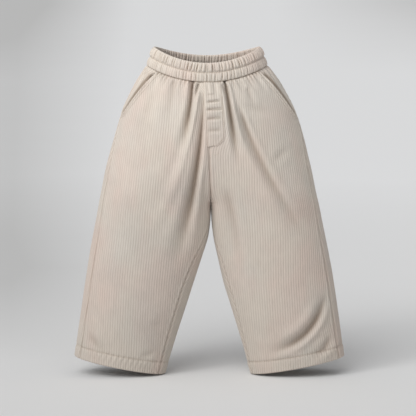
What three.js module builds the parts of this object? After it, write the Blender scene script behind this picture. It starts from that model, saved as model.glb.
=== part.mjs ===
// A small child's pull-on corduroy trousers with wide legs, filled out as worn, with nobody in them.
// Millimetres, +Z up. The front faces -Y and +X is the wearer's left. The origin is the middle of the
// waist, where the wearer's waist holds the trousers up.
//
// Each leg is a tube of cloth that starts as one half of the body. Above the crotch the two tubes run
// into each other, and the centre seam is where the middle plane cuts them; below it each one closes.
import * as THREE from "three";

// The cloth and how it is put together.
const wall = 1.8; // thick corduroy, with its pile
const seamGap = 0.3; // between pieces that are sewn to each other
const layerGap = 0.45; // between a panel and a layer that lies on it or under it
const frontColumns = 30; // faces across a front panel
const backColumns = 28; // faces across a back panel
const legGap = 1.2; // from the middle plane to the middle of the cloth where the thighs meet

const degrees = Math.PI / 180;
const quarter = 90 * degrees;
const halfTurn = 180 * degrees;
const fullTurn = 360 * degrees;

const left = 1;
const right = -1;

const named = (columns, rows) =>
  rows.map((row) => Object.fromEntries(columns.split(" ").map((column, i) => [column, row[i]])));

// The levels of the trousers, from the waist seam to the hem. The outer and inner columns are the two
// sides of each leg, measured from the centre seam, and an inner below zero is the part of the tube that
// the other leg takes away. middle is where the centre seam stands in X. front and back are the depths.
// saddle is how far a level rises at the sides and drops at front and back, and lift how much higher
// the outer side of a leg is than its inner one. sideTurn is how far forward the side seam lies, and
// inseamLeft and inseamRight how far forward the inseams lie, in degrees round the tube. corner is how
// the inner half of the tube turns: 1 is an ellipse, and below 1 it is flatter with squarer corners, as
// cloth hangs where the thighs meet.
const levels = named(
  "z saddle lift middle outerLeft outerRight innerLeft innerRight " +
    "front back sideTurn inseamLeft inseamRight corner",
  [
    [-15.5, 11.5, 0, -2.5, 100, 100, -100, -100, 62, 64, 0, 0, 0, 1],
    [-24, 10, 0, -1.5, 108, 108, -107, -107, 65, 68, 0, 0, 0, 1],
    [-38, 8, 0, -1, 119.6, 119.6, -118, -118, 68.5, 73.5, 1, 0, 0, 1],
    [-57, 5.6, 0, -0.5, 131.2, 131.2, -127.5, -127.5, 71.5, 79, 2, 0, 0, 1],
    [-78, 3.4, 0, 0, 143, 143, -134, -134, 74, 83, 4, 0, 0, 1],
    [-99, 1.6, 0, 0.5, 151, 150.3, -135, -135, 75.5, 86, 6, 0, 0, 1],
    [-116, 0.6, 0, 0.8, 156.7, 156.6, -131, -131, 76.5, 87.5, 9, 0, 0, 1],
    [-133, 0.2, 0, 1.1, 161.4, 161.9, -123, -123, 77, 88, 12, 0, 0, 1],
    [-156, 0, 0, 1.6, 166.1, 169.2, -105, -105, 76.5, 87.5, 15, 0, 0, 0.95],
    [-179, 0, 0, 2.3, 171.2, 175.8, -75, -75, 74.5, 85, 18, 0, 0, 0.85],
    [-199, 0, 1, 3.1, 174.4, 180.6, -42, -42, 72, 81.5, 20, 0, 0, 0.6],
    [-213, 0, 2, 3.6, 176.4, 183.6, -15, -15, 70, 79, 21, 0, 0, 0.45],
    [-225, 0, 3, 3.9, 178.6, 186.4, legGap, legGap, 68, 76, 22, 1, 1, 0.38],
    [-245, 0, 5, 4.2, 183.1, 190.2, legGap, legGap, 65.5, 71.5, 23, 5, 7, 0.5],
    [-268, 0, 8, 4.2, 187.3, 194.2, 2, 2, 63, 67.2, 24, 10, 14, 0.65],
    [-292, 0, 11, 3.9, 192.3, 198.4, 5.2, 5.2, 60.6, 63.6, 25, 15, 22, 0.8],
    [-326, 0, 15, 2, 201, 202.6, 15, 15, 57.6, 59, 26, 22, 31, 0.92],
    [-366, 0, 20, 0, 210.2, 206.8, 26.5, 26.5, 54, 55, 27, 25, 35, 1],
    [-408, 0, 24, 0, 216.5, 213, 40.5, 40.5, 51, 51, 28, 24, 35, 1],
    [-446, 0, 27, 0, 222, 218.5, 52.5, 53.5, 48, 48, 28, 21, 34, 1],
    [-475, 0, 29, 0, 225.8, 222.7, 61.5, 62.5, 45.5, 46, 29, 18, 33, 1],
    [-495.5, 0, 30, 0, 228.5, 225.3, 67, 69, 43.5, 44.5, 29, 17, 32, 1],
    [-517.3, 0, 31, 0, 232.5, 229.5, 72.5, 74.5, 42, 43, 29, 16, 32, 1],
  ],
);
const backSaddle = 0.62; // the back of a level drops by this share of what its front drops
const hemTop = levels.length - 2; // the level of the hem's stitching

// The folds, each a trough along a curve through three points, as seen from the front or from the back.
// startWidth and endWidth are the trough's half widths, and startFade and endFade the shares of its
// length over which it deepens and dies away. A depth below zero is a ridge.
const foldColumns =
  "startX startZ midX midZ endX endZ startWidth endWidth depth startFade endFade";
const folds = {
  front: named(foldColumns, [
    // the wearer's right leg: beside the fly, then long and broad into the thigh
    [-26, -24, -33, -80, -53, -136, 5, 9, 7.5, 0.1, 0.6],
    [-9.5, -30, -18, -160, -71, -345, 4.5, 17, 8.5, 0.25, 0.5],
    [-55, -22, -64, -66, -72, -112, 6, 9, 2.4, 0.1, 0.7],
    [-84, -26, -108, -92, -118, -150, 8, 16, 1.8, 0.3, 0.7],
    [-75, -404, -94, -411, -113, -425, 5, 6, 1.8, 0.4, 0.6],
    [-76, -436, -88, -441, -101, -455, 5, 6, 1.6, 0.4, 0.6],
    [-88, -486, -106, -494, -122, -497, 5, 6, 1.8, 0.4, 0.6],
    [-205, -448, -190, -476, -160, -496, 6, 7, 2.2, 0.4, 0.6],
    // the wearer's left leg: beside the fly, the long diagonal, the inner thigh, the two at the hem
    [25, -24, 43, -98, 53, -182, 4.5, 7, 8, 0.1, 0.6],
    [52, -70, 110, -205, 188, -356, 5, 11, 4.2, 0.3, 0.4],
    [64, -34, 70, -52, 78, -74, 4, 6, 2, 0.2, 0.7],
    [48, -60, 82, -72, 116, -80, 8, 9, 1.8, 0.5, 0.5],
    [104, -162, 120, -150, 134, -132, 7, 7, 1.6, 0.5, 0.5],
    [27, -198, 41, -268, 55, -378, 8, 14, 3.6, 0.4, 0.6],
    [199, -376, 172, -446, 86, -478, 7, 8, 6.5, 0.35, 0.45],
    [203, -448, 192, -480, 158, -493, 6, 7, 4.5, 0.35, 0.5],
  ]),
  // nothing shows of the back: its folds hang from the seat and break at the knee and the hem
  back: named(foldColumns, [
    [-22, -28, -30, -92, -44, -160, 6, 11, 5.5, 0.1, 0.6],
    [-62, -24, -74, -80, -92, -140, 6, 11, 3.6, 0.1, 0.7],
    [-8, -196, -48, -238, -104, -252, 9, 12, 4.2, 0.4, 0.6],
    [-22, -258, -66, -330, -96, -420, 9, 16, 5, 0.4, 0.6],
    [-196, -330, -160, -384, -110, -404, 8, 10, 3, 0.4, 0.6],
    [-204, -430, -178, -470, -120, -488, 7, 8, 4, 0.4, 0.5],
    [24, -28, 34, -84, 50, -150, 6, 11, 5, 0.1, 0.6],
    [66, -24, 76, -70, 98, -124, 6, 11, 3.8, 0.1, 0.7],
    [8, -200, 52, -246, 112, -266, 9, 12, 4.4, 0.4, 0.6],
    [24, -262, 62, -336, 100, -430, 9, 16, 4.6, 0.4, 0.6],
    [188, -300, 158, -356, 104, -382, 8, 10, 3.2, 0.4, 0.6],
    [92, -470, 130, -486, 186, -478, 7, 8, 3.6, 0.5, 0.5],
  ]),
};
const shoulder = 0.32; // a trough throws up a ridge on each side, this share of its depth
const curveSteps = 14;

// The gathers under the waist seam. caught is the share of their depth at the seam itself.
const gather = { perHalf: 20, depth: 1.7, reach: 42, caught: 0.4, free: 8 };

// The slant pockets: each opening runs from the waist seam to the side seam, and the cloth behind it
// shows in the corner that the front panel leaves.
const pocket = {
  topX: 85,
  topZ: -12,
  bottomX: 151,
  bottomZ: -98,
  bow: 4, // how far the opening bows outwards
  underlap: 17, // how far the cloth behind reaches in under the front panel
  facingWall: 1.4,
  gape: 1.6, // how far the opening's edge stands out
  gapeReach: 9,
  gapeStart: 20, // how far below the waist seam the opening starts to gape
  dip: 2, // how far the cloth behind sinks along the edge
  riseFrom: 5, // how far past the edge it starts to come out, and is all the way out
  riseTo: 16,
  columns: 11,
  lastLevel: 6,
};

// The mock fly, a second layer sewn on over the centre seam and mostly on the wearer's left.
const fly = {
  overlap: 4.5, // past the centre onto the wearer's right
  width: 20.5, // onto the wearer's left
  gap: 0.75, // over the panels
  thickness: 1.2,
  cornerFrom: 0.8, // the share of its height where the lower corner starts to round
  tip: 0.35, // the share of its width that is left at the bottom
  columns: 10,
  rowsPerLevel: 3,
  lastLevel: 7,
  puckers: 6,
  puckerDepth: 0.55,
};

// The waistband, one cloth casing with two channels of elastic, gathered by them. Its profile runs from
// the waist seam up the outside and down the inside: up is the height, out the distance outside the
// middle of the band, and ruffle the share of the gathers' depth.
const band = {
  height: 31.5,
  middle: -2.5,
  rimOuter: 88.7,
  rimFront: 57,
  rimBack: 59,
  ruffles: 80, // in each channel
  ruffleDepth: 1.15,
  profile: named("up out ruffle", [
    [0.3, 1.4, 0.35],
    [4.5, 2.3, 1],
    [11.5, 2.3, 1],
    [15.6, 0.9, 0.15],
    [20, 2.1, 1],
    [27, 1.9, 1],
    [31.5, 0, 0.5],
    [27, -2.2, 0.6],
    [15.6, -1.8, 0.15],
    [0.3, -2.6, 0.3],
  ]),
};

// The hem is the cloth turned up inside each leg.
const hem = { thickness: 1.3 };

const mix = (from, to, share) => from + (to - from) * share;

function smooth(from, to, value) {
  return THREE.MathUtils.smoothstep(value, from, to);
}

// A fold's curve as short straight pieces.
function tracedFold(row) {
  const start = new THREE.Vector2(row.startX, row.startZ);
  const end = new THREE.Vector2(row.endX, row.endZ);
  const control = new THREE.Vector2(row.midX, row.midZ)
    .multiplyScalar(2)
    .addScaledVector(start, -0.5)
    .addScaledVector(end, -0.5);
  const points = new THREE.QuadraticBezierCurve(start, control, end).getPoints(curveSteps);
  return { ...row, points };
}
const tracedFolds = {
  front: folds.front.map(tracedFold),
  back: folds.back.map(tracedFold),
};

// How far one fold moves the cloth at a point, seen from the front or the back.
function foldDepth(fold, x, z) {
  let nearest = Infinity;
  let along = 0;
  for (let i = 0; i < curveSteps; i++) {
    const a = fold.points[i];
    const b = fold.points[i + 1];
    const dx = b.x - a.x;
    const dz = b.y - a.y;
    const share = ((x - a.x) * dx + (z - a.y) * dz) / (dx * dx + dz * dz);
    const t = THREE.MathUtils.clamp(share, 0, 1);
    const away = Math.hypot(x - a.x - dx * t, z - a.y - dz * t);
    if (away < nearest) {
      nearest = away;
      along = (i + t) / curveSteps;
    }
  }
  const across = nearest / mix(fold.startWidth, fold.endWidth, along);
  const trough = -Math.exp(-across * across) + shoulder * Math.exp(-((across - 2) ** 2));
  const ends = smooth(0, fold.startFade, along) * (1 - smooth(1 - fold.endFade, 1, along));
  return fold.depth * trough * ends;
}

// The width of a leg at a level, as half of it and its centre, and its outer side.
function across(side, level) {
  const outer = side === left ? level.outerLeft : level.outerRight;
  const inner = side === left ? level.innerLeft : level.innerRight;
  return { half: (outer - inner) / 2, centre: (outer + inner) / 2, outer, inner };
}

// How much faster the depth changes with the angle than an ellipse's does.
const steeper = (sin, corner) => corner * Math.max(Math.abs(sin), 0.002) ** (corner - 1);

// A point of a leg's cloth. turn is the angle round the tube from its inner side through the front, and
// out is how far the point lies outside the middle of the cloth.
function clothPoint(side, level, turn, out) {
  const { half, centre, outer } = across(side, level);
  const cos = Math.cos(turn);
  const sin = Math.sin(turn);
  const isFront = sin > 0;
  const depth = isFront ? level.front : level.back;
  const corner = cos > 0 ? level.corner : 1;
  const x = centre - half * cos;
  const y = -depth * Math.sign(sin) * Math.abs(sin) ** corner;
  const drop = isFront ? sin * sin : backSaddle * sin * sin;
  const z =
    level.z + level.saddle * ((x / outer) ** 2 - drop) + (level.lift * (x - centre)) / (2 * half);
  const normal = new THREE.Vector2(-cos * depth * steeper(sin, corner), -sin * half).normalize();
  const facing = smooth(0.05, 0.45, Math.abs(normal.y));
  const face = isFront ? tracedFolds.front : tracedFolds.back;
  let moved = out;
  for (const fold of face) moved += facing * foldDepth(fold, level.middle + side * x, z);
  moved += gathered(turn, level);
  const away = Math.max(x + normal.x * moved, seamGap / 2);
  return new THREE.Vector3(level.middle + side * away, y + normal.y * moved, z);
}

// The waves that the gathers leave in the cloth under the waist seam, uneven in spacing and depth.
function gathered(turn, level) {
  const below = levels[0].z - level.z;
  const fade = mix(gather.caught, 1, smooth(0, gather.free, below)) * (1 - smooth(0, gather.reach, below));
  const phase = 2 * gather.perHalf * turn + 0.9 * Math.sin(7 * turn) + 0.6 * Math.sin(3 * turn);
  return gather.depth * fade * (0.75 + 0.25 * Math.sin(5 * turn)) * Math.cos(phase);
}

// The length of cloth for each radian round the tube.
function arcSpeed(side, level, turn) {
  const cos = Math.cos(turn);
  const sin = Math.sin(turn);
  const depth = sin > 0 ? level.front : level.back;
  const corner = cos > 0 ? level.corner : 1;
  return Math.hypot(across(side, level).half * sin, depth * cos * steeper(sin, corner));
}

// Angles from one to another with even lengths of cloth between them.
function evenTurns(side, level, from, to, count) {
  const steps = 240;
  const lengths = [0];
  for (let i = 0; i < steps; i++) {
    const middle = mix(from, to, (i + 0.5) / steps);
    lengths.push(lengths[i] + arcSpeed(side, level, middle));
  }
  const turns = [];
  let at = 0;
  for (let k = 0; k <= count; k++) {
    const wanted = (lengths[steps] * k) / count;
    while (at < steps - 1 && lengths[at + 1] < wanted) at++;
    const share = (wanted - lengths[at]) / (lengths[at + 1] - lengths[at]);
    turns.push(mix(from, to, (at + share) / steps));
  }
  return turns;
}

// The angle in a range where a rising measure crosses zero.
function crossing(measure, low, high) {
  for (let i = 0; i < 40; i++) {
    const middle = (low + high) / 2;
    if (measure(middle) > 0) high = middle;
    else low = middle;
  }
  return (low + high) / 2;
}

// Where the centre seam or the inseam bounds a panel, as an angle round the tube.
function innerTurn(side, face, level, out) {
  const sign = face === "front" ? 1 : -1;
  if (across(side, level).inner < 0) {
    const beyond = (turn) => {
      const away = side * (clothPoint(side, level, sign * turn, out).x - level.middle);
      return away - seamGap / 2 - 1e-4;
    };
    return sign * crossing(beyond, 0, quarter * 1.1);
  }
  const inseam = (side === left ? level.inseamLeft : level.inseamRight) * degrees;
  return inseam + (sign * seamGap) / 2 / arcSpeed(side, level, inseam);
}

const sideSeam = (level) => halfTurn - level.sideTurn * degrees;

// The X of the pocket opening at a height.
function pocketX(z) {
  const share = (z - pocket.topZ) / (pocket.bottomZ - pocket.topZ);
  return mix(pocket.topX, pocket.bottomX, share) + pocket.bow * 4 * share * Math.max(0, 1 - share);
}

// Where the pocket opening crosses a level, as an angle round the tube; past the side seam below it.
function pocketTurn(side, level) {
  const past = (turn) => {
    const point = clothPoint(side, level, turn, 0);
    return side * point.x - pocketX(point.z);
  };
  return past(halfTurn) < 0 ? halfTurn : crossing(past, quarter * 1.05, halfTurn);
}

function outerTurn(side, face, level) {
  const seam = sideSeam(level);
  const gap = seamGap / 2 / arcSpeed(side, level, seam);
  if (face === "back") return seam + gap - fullTurn;
  return Math.min(seam - gap, pocketTurn(side, level));
}

// How far the pocket opening's edge stands out on the front panel.
function pocketGape(side, level, turn) {
  const opening = pocketTurn(side, level);
  if (opening > sideSeam(level)) return 0;
  const away = (opening - turn) * arcSpeed(side, level, opening);
  const low = smooth(0, pocket.gapeStart, levels[0].z - level.z);
  return low * pocket.gape * Math.exp(-((away / pocket.gapeReach) ** 2));
}

// The points of a panel's cloth, level by level, at a distance outside its middle.
function panelPoints(side, face, out) {
  const columns = face === "front" ? frontColumns : backColumns;
  return levels.map((level) => {
    const from = innerTurn(side, face, level, out);
    const turns = evenTurns(side, level, from, outerTurn(side, face, level), columns);
    return turns.map((turn) => {
      const gape = face === "front" ? pocketGape(side, level, turn) : 0;
      return clothPoint(side, level, turn, out + gape);
    });
  });
}

// A closed solid between an outer and an inner grid of points with as many rows and columns.
// ringed joins the last column to the first.
function solidBetween(outer, inner, ringed = false) {
  const rows = outer.length;
  const columns = outer[0].length;
  const positions = [...outer.flat(), ...inner.flat()].flatMap((point) => point.toArray());
  const faces = [];
  const at = (layer, row, column) => (layer * rows + row) * columns + (column % columns);
  const quad = (a, b, c, d) => faces.push(a, b, c, a, c, d);
  const last = ringed ? columns : columns - 1;
  for (let row = 0; row < rows - 1; row++) {
    for (let column = 0; column < last; column++) {
      const next = column + 1;
      quad(at(0, row, column), at(0, row, next), at(0, row + 1, next), at(0, row + 1, column));
      quad(at(1, row, column), at(1, row + 1, column), at(1, row + 1, next), at(1, row, next));
    }
  }
  for (let column = 0; column < last; column++) {
    const next = column + 1;
    const foot = rows - 1;
    quad(at(0, 0, next), at(0, 0, column), at(1, 0, column), at(1, 0, next));
    quad(at(0, foot, column), at(0, foot, next), at(1, foot, next), at(1, foot, column));
  }
  for (let row = 0; row < rows - 1 && !ringed; row++) {
    const end = columns - 1;
    quad(at(0, row, 0), at(0, row + 1, 0), at(1, row + 1, 0), at(1, row, 0));
    quad(at(0, row + 1, end), at(0, row, end), at(1, row, end), at(1, row + 1, end));
  }
  return facingOut(positions, faces);
}

// A geometry from points and faces, with its faces turned so that they point out.
function facingOut(positions, faces) {
  let volume = 0;
  const corner = (index) => new THREE.Vector3().fromArray(positions, index * 3);
  for (let i = 0; i < faces.length; i += 3) {
    const a = corner(faces[i]);
    volume += a.dot(corner(faces[i + 1]).cross(corner(faces[i + 2])));
  }
  if (volume < 0) {
    for (let i = 0; i < faces.length; i += 3) {
      [faces[i + 1], faces[i + 2]] = [faces[i + 2], faces[i + 1]];
    }
  }
  const geometry = new THREE.BufferGeometry();
  geometry.setAttribute("position", new THREE.Float32BufferAttribute(positions, 3));
  geometry.setIndex(faces);
  return geometry;
}

function panel(side, face) {
  return solidBetween(panelPoints(side, face, wall / 2), panelPoints(side, face, -wall / 2));
}

// The cloth that shows behind a pocket opening, sewn into the waist and side seams. It lies under the
// front panel, sinks along the opening and comes out level with the panels beyond it.
function pocketFacing(side) {
  const under = -wall / 2 - layerGap;
  const sheet = (depth) =>
    levels.slice(0, pocket.lastLevel + 1).map((level) => {
      const seam = sideSeam(level);
      const opening = pocketTurn(side, level);
      const from = Math.min(opening, seam) - pocket.underlap / arcSpeed(side, level, opening);
      const to = seam - seamGap / 2 / arcSpeed(side, level, seam);
      const turns = evenTurns(side, level, from, to, pocket.columns);
      return turns.map((turn) => {
        const past = (turn - opening) * arcSpeed(side, level, opening);
        const low = smooth(0, pocket.gapeStart, levels[0].z - level.z);
        const dip = low * pocket.dip * Math.exp(-((past / pocket.gapeReach) ** 2));
        const rise = smooth(pocket.riseFrom, pocket.riseTo, past);
        return clothPoint(side, level, turn, mix(under - dip, wall / 2, rise) - depth);
      });
    });
  return solidBetween(sheet(0), sheet(pocket.facingWall));
}

// A point on the triangles of a grid, between its rows and columns.
function between(grid, row, column) {
  const r = Math.min(Math.floor(row), grid.length - 2);
  const c = Math.min(Math.floor(column), grid[0].length - 2);
  const down = row - r;
  const along = column - c;
  const corner = grid[r][c];
  const opposite = grid[r + 1][c + 1];
  const third = along > down ? grid[r][c + 1] : grid[r + 1][c];
  const more = Math.max(along, down);
  const less = Math.min(along, down);
  const point = corner.clone().multiplyScalar(1 - more);
  return point.addScaledVector(third, more - less).addScaledVector(opposite, less);
}

// The column of a panel's grid where it reaches a distance from the centre seam.
function columnAt(side, grid, row, distance) {
  const r = Math.min(Math.floor(row), levels.length - 2);
  const middle = mix(levels[r].middle, levels[r + 1].middle, row - r);
  const measure = (column) => side * (between(grid, row, column).x - middle) - distance;
  return crossing(measure, 0, grid[0].length / 2);
}

// The mock fly, made from the front panels' own points moved out.
function mockFly() {
  const sheet = (height) => {
    const out = wall / 2 + fly.gap + height;
    const grids = { [left]: panelPoints(left, "front", out), [right]: panelPoints(right, "front", out) };
    const rows = [];
    const count = fly.lastLevel * fly.rowsPerLevel;
    for (let i = 0; i <= count; i++) {
      const row = i / fly.rowsPerLevel;
      const share = i / count;
      const rounding = Math.max(0, (share - fly.cornerFrom) / (1 - fly.cornerFrom));
      const reach = fly.width * mix(1, fly.tip, 1 - Math.sqrt(1 - rounding * rounding));
      const pucker = height > 0 ? fly.puckerDepth * Math.cos(2 * Math.PI * fly.puckers * share) : 0;
      const points = [];
      for (let k = 0; k <= fly.columns; k++) {
        const x = mix(-fly.overlap, reach, k / fly.columns);
        const side = x < 0 ? right : left;
        const column = columnAt(side, grids[side], row, Math.max(Math.abs(x), seamGap / 2 + 0.01));
        const point = between(grids[side], row, column);
        point.y -= pucker * Math.sin((Math.PI * k) / fly.columns);
        points.push(point);
      }
      rows.push(points);
    }
    return rows;
  };
  return solidBetween(sheet(fly.thickness), sheet(0));
}

// One point of the waistband's profile all the way round, gathered.
function bandRing(point) {
  const waist = levels[0];
  const share = point.up / band.height;
  const columns = band.ruffles * 2;
  const upper = point.up > band.height / 2;
  const ring = [];
  for (let k = 0; k < columns; k++) {
    const uneven = 0.2 * Math.sin(1.7 * k) + 0.15 * Math.sin(0.61 * k);
    const turn = (fullTurn * (k + uneven)) / columns;
    const swell = 0.75 + 0.25 * Math.sin(upper ? 0.37 * k : 0.53 * k + 1);
    const ruffle = band.ruffleDepth * point.ruffle * swell * (k % 2 ? -1 : 1);
    const isFront = Math.sin(turn) > 0;
    const half = mix(waist.outerLeft, band.rimOuter, share);
    const depth = isFront
      ? mix(waist.front, band.rimFront, share)
      : mix(waist.back, band.rimBack, share);
    const x = -half * Math.cos(turn);
    const y = -depth * Math.sin(turn);
    const drop = (isFront ? 1 : backSaddle) * Math.sin(turn) ** 2;
    const z = waist.z + point.up + waist.saddle * (Math.cos(turn) ** 2 - drop);
    const normal = new THREE.Vector2(x / half / half, y / depth / depth).normalize();
    const out = point.out + ruffle;
    ring.push(new THREE.Vector3(band.middle + x + normal.x * out, y + normal.y * out, z));
  }
  return ring;
}

// The waistband as a ring whose profile closes on itself.
function waistband() {
  const rings = band.profile.map(bandRing);
  const columns = rings[0].length;
  const positions = rings.flat().flatMap((point) => point.toArray());
  const faces = [];
  rings.forEach((ring, row) => {
    const nextRow = (row + 1) % rings.length;
    for (let column = 0; column < columns; column++) {
      const next = (column + 1) % columns;
      const a = row * columns + column;
      const b = row * columns + next;
      const c = nextRow * columns + next;
      const d = nextRow * columns + column;
      faces.push(a, b, c, a, c, d);
    }
  });
  return facingOut(positions, faces);
}

// The cloth turned up inside a leg, all the way round, made from the panels' own points moved in.
function hemTurnUp(side) {
  const ring = (depth) => {
    const out = -wall / 2 - layerGap - depth;
    const front = panelPoints(side, "front", out).slice(hemTop);
    const back = panelPoints(side, "back", out).slice(hemTop);
    return front.map((row, i) => [...row, ...back[i].toReversed()]);
  };
  return solidBetween(ring(0), ring(hem.thickness), true);
}

const corduroy = new THREE.Color("#d8cbbc");
const corduroyShade = new THREE.Color("#cfc1b1");

function piece(name, geometry, colour = corduroy) {
  const material = new THREE.MeshStandardMaterial({ color: colour, roughness: 0.95, metalness: 0 });
  const mesh = new THREE.Mesh(geometry, material);
  mesh.name = name;
  return mesh;
}

const trousers = new THREE.Group();
trousers.name = "corduroy_trousers";
trousers.add(piece("waistband", waistband()));
trousers.add(piece("mock_fly", mockFly()));
for (const [name, side] of [["left", left], ["right", right]]) {
  trousers.add(piece(`front_${name}`, panel(side, "front")));
  trousers.add(piece(`back_${name}`, panel(side, "back")));
  trousers.add(piece(`pocket_facing_${name}`, pocketFacing(side), corduroyShade));
  trousers.add(piece(`hem_${name}`, hemTurnUp(side), corduroyShade));
}

export default trousers;
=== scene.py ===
# A small child's pull-on corduroy trousers with wide legs, filled out as worn, with nobody in them.
# The front faces -Y and +X is the wearer's left. Cut sizes are in millimetres, and meshes in metres.
import math

import bpy
import numpy as np
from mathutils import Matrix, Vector


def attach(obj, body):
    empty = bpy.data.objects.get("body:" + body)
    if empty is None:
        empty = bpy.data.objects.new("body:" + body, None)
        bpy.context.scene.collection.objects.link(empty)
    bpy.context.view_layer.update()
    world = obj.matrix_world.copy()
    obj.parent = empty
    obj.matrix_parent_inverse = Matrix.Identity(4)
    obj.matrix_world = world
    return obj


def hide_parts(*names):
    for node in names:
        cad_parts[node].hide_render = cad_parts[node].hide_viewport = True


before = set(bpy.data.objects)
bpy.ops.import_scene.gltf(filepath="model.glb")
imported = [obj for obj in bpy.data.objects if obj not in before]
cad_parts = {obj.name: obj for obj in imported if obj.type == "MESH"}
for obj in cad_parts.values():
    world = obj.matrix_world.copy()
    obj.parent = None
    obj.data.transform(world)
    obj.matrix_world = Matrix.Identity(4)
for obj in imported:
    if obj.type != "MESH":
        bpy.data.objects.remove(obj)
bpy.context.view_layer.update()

MM = 0.001
LEFT = 1
RIGHT = -1
FULL_TURN = 2 * math.pi

# The cloth.
WALL = 1.7
SEAM_GAP = 0.02  # the edges meet at the seams
WALE = 4.25  # from rib to rib
RIB_HEIGHT = 0.24

# How the panels are cut.
HEM_DEPTH = 21
LEG_GAP = 1.2

# The camera and the floor, in metres.
CAMERA_TURNED_DOWN = math.radians(8)
CAMERA_DISTANCE = 3.93
CAMERA_LOOKS_AT = Vector((-0.00085, 0, -0.2470))
FLOOR_Z = -0.5334
FLOOR_REACH = 4.3  # how far in front of the trousers the lines of the floor's painted shade would meet in a point
# The floor's painted shade, and its own pale colour.
FLOOR_PAINTED_SHADE = (0.63, 0.63, 0.625)
FLOOR_LIGHT = (0.92, 0.925, 0.93)

# The levels of the trousers, from the waist seam to the hem, as in the cut: the two sides of each leg
# from the centre seam, the depths in front and behind, and how far forward the seams lie, in degrees.
# corner is how the inner half of the tube turns: 1 is an ellipse, and below 1 it is flatter.
LEVEL_COLUMNS = (
    "z saddle lift middle outer_left outer_right inner_left inner_right "
    "front back side_turn inseam_left inseam_right corner"
).split()
LEVELS = np.array(
    [
        [-15.5, 11.5, 0, -2.5, 100, 100, -100, -100, 62, 64, 0, 0, 0, 1],
        [-24, 10, 0, -1.5, 108, 108, -107, -107, 65, 68, 0, 0, 0, 1],
        [-38, 8, 0, -1, 119.6, 119.6, -118, -118, 68.5, 73.5, 1, 0, 0, 1],
        [-57, 5.6, 0, -0.5, 131.2, 131.2, -127.5, -127.5, 71.5, 79, 2, 0, 0, 1],
        [-78, 3.4, 0, 0, 143, 143, -134, -134, 74, 83, 4, 0, 0, 1],
        [-99, 1.6, 0, 0.5, 151, 150.3, -135, -135, 75.5, 86, 6, 0, 0, 1],
        [-116, 0.6, 0, 0.8, 156.7, 156.6, -131, -131, 76.5, 87.5, 9, 0, 0, 1],
        [-133, 0.2, 0, 1.1, 161.4, 161.9, -123, -123, 77, 88, 12, 0, 0, 1],
        [-156, 0, 0, 1.6, 166.1, 169.2, -105, -105, 76.5, 87.5, 15, 0, 0, 0.95],
        [-179, 0, 0, 2.3, 171.2, 175.8, -75, -75, 74.5, 85, 18, 0, 0, 0.85],
        [-199, 0, 1, 3.1, 174.4, 180.6, -42, -42, 72, 81.5, 20, 0, 0, 0.6],
        [-213, 0, 2, 3.6, 176.4, 183.6, -15, -15, 70, 79, 21, 0, 0, 0.45],
        [-225, 0, 3, 3.9, 178.6, 186.4, LEG_GAP, LEG_GAP, 68, 76, 22, 1, 1, 0.38],
        [-245, 0, 5, 4.2, 183.1, 190.2, LEG_GAP, LEG_GAP, 65.5, 71.5, 23, 5, 7, 0.5],
        [-268, 0, 8, 4.2, 187.3, 194.2, 2, 2, 63, 67.2, 24, 10, 14, 0.65],
        [-292, 0, 11, 3.9, 192.3, 198.4, 5.2, 5.2, 60.6, 63.6, 25, 15, 22, 0.8],
        [-326, 0, 15, 2, 201, 202.6, 15, 15, 57.6, 59, 26, 22, 31, 0.92],
        [-366, 0, 20, 0, 210.2, 206.8, 26.5, 26.5, 54, 55, 27, 25, 35, 1],
        [-408, 0, 24, 0, 216.5, 213, 40.5, 40.5, 51, 51, 28, 24, 35, 1],
        [-446, 0, 27, 0, 222, 218.5, 52.5, 53.5, 48, 48, 28, 21, 34, 1],
        [-475, 0, 29, 0, 225.8, 222.7, 61.5, 62.5, 45.5, 46, 29, 18, 33, 1],
        [-495.5, 0, 30, 0, 228.5, 225.3, 67, 69, 43.5, 44.5, 29, 17, 32, 1],
        [-517.3, 0, 31, 0, 232.5, 229.5, 72.5, 74.5, 42, 43, 29, 16, 32, 1],
    ]
)
WAIST_Z = LEVELS[0, 0]
HEM_Z = LEVELS[-1, 0]
BACK_SADDLE = 0.62
ROUNDING = 7  # how far the levels are blended into each other

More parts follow.
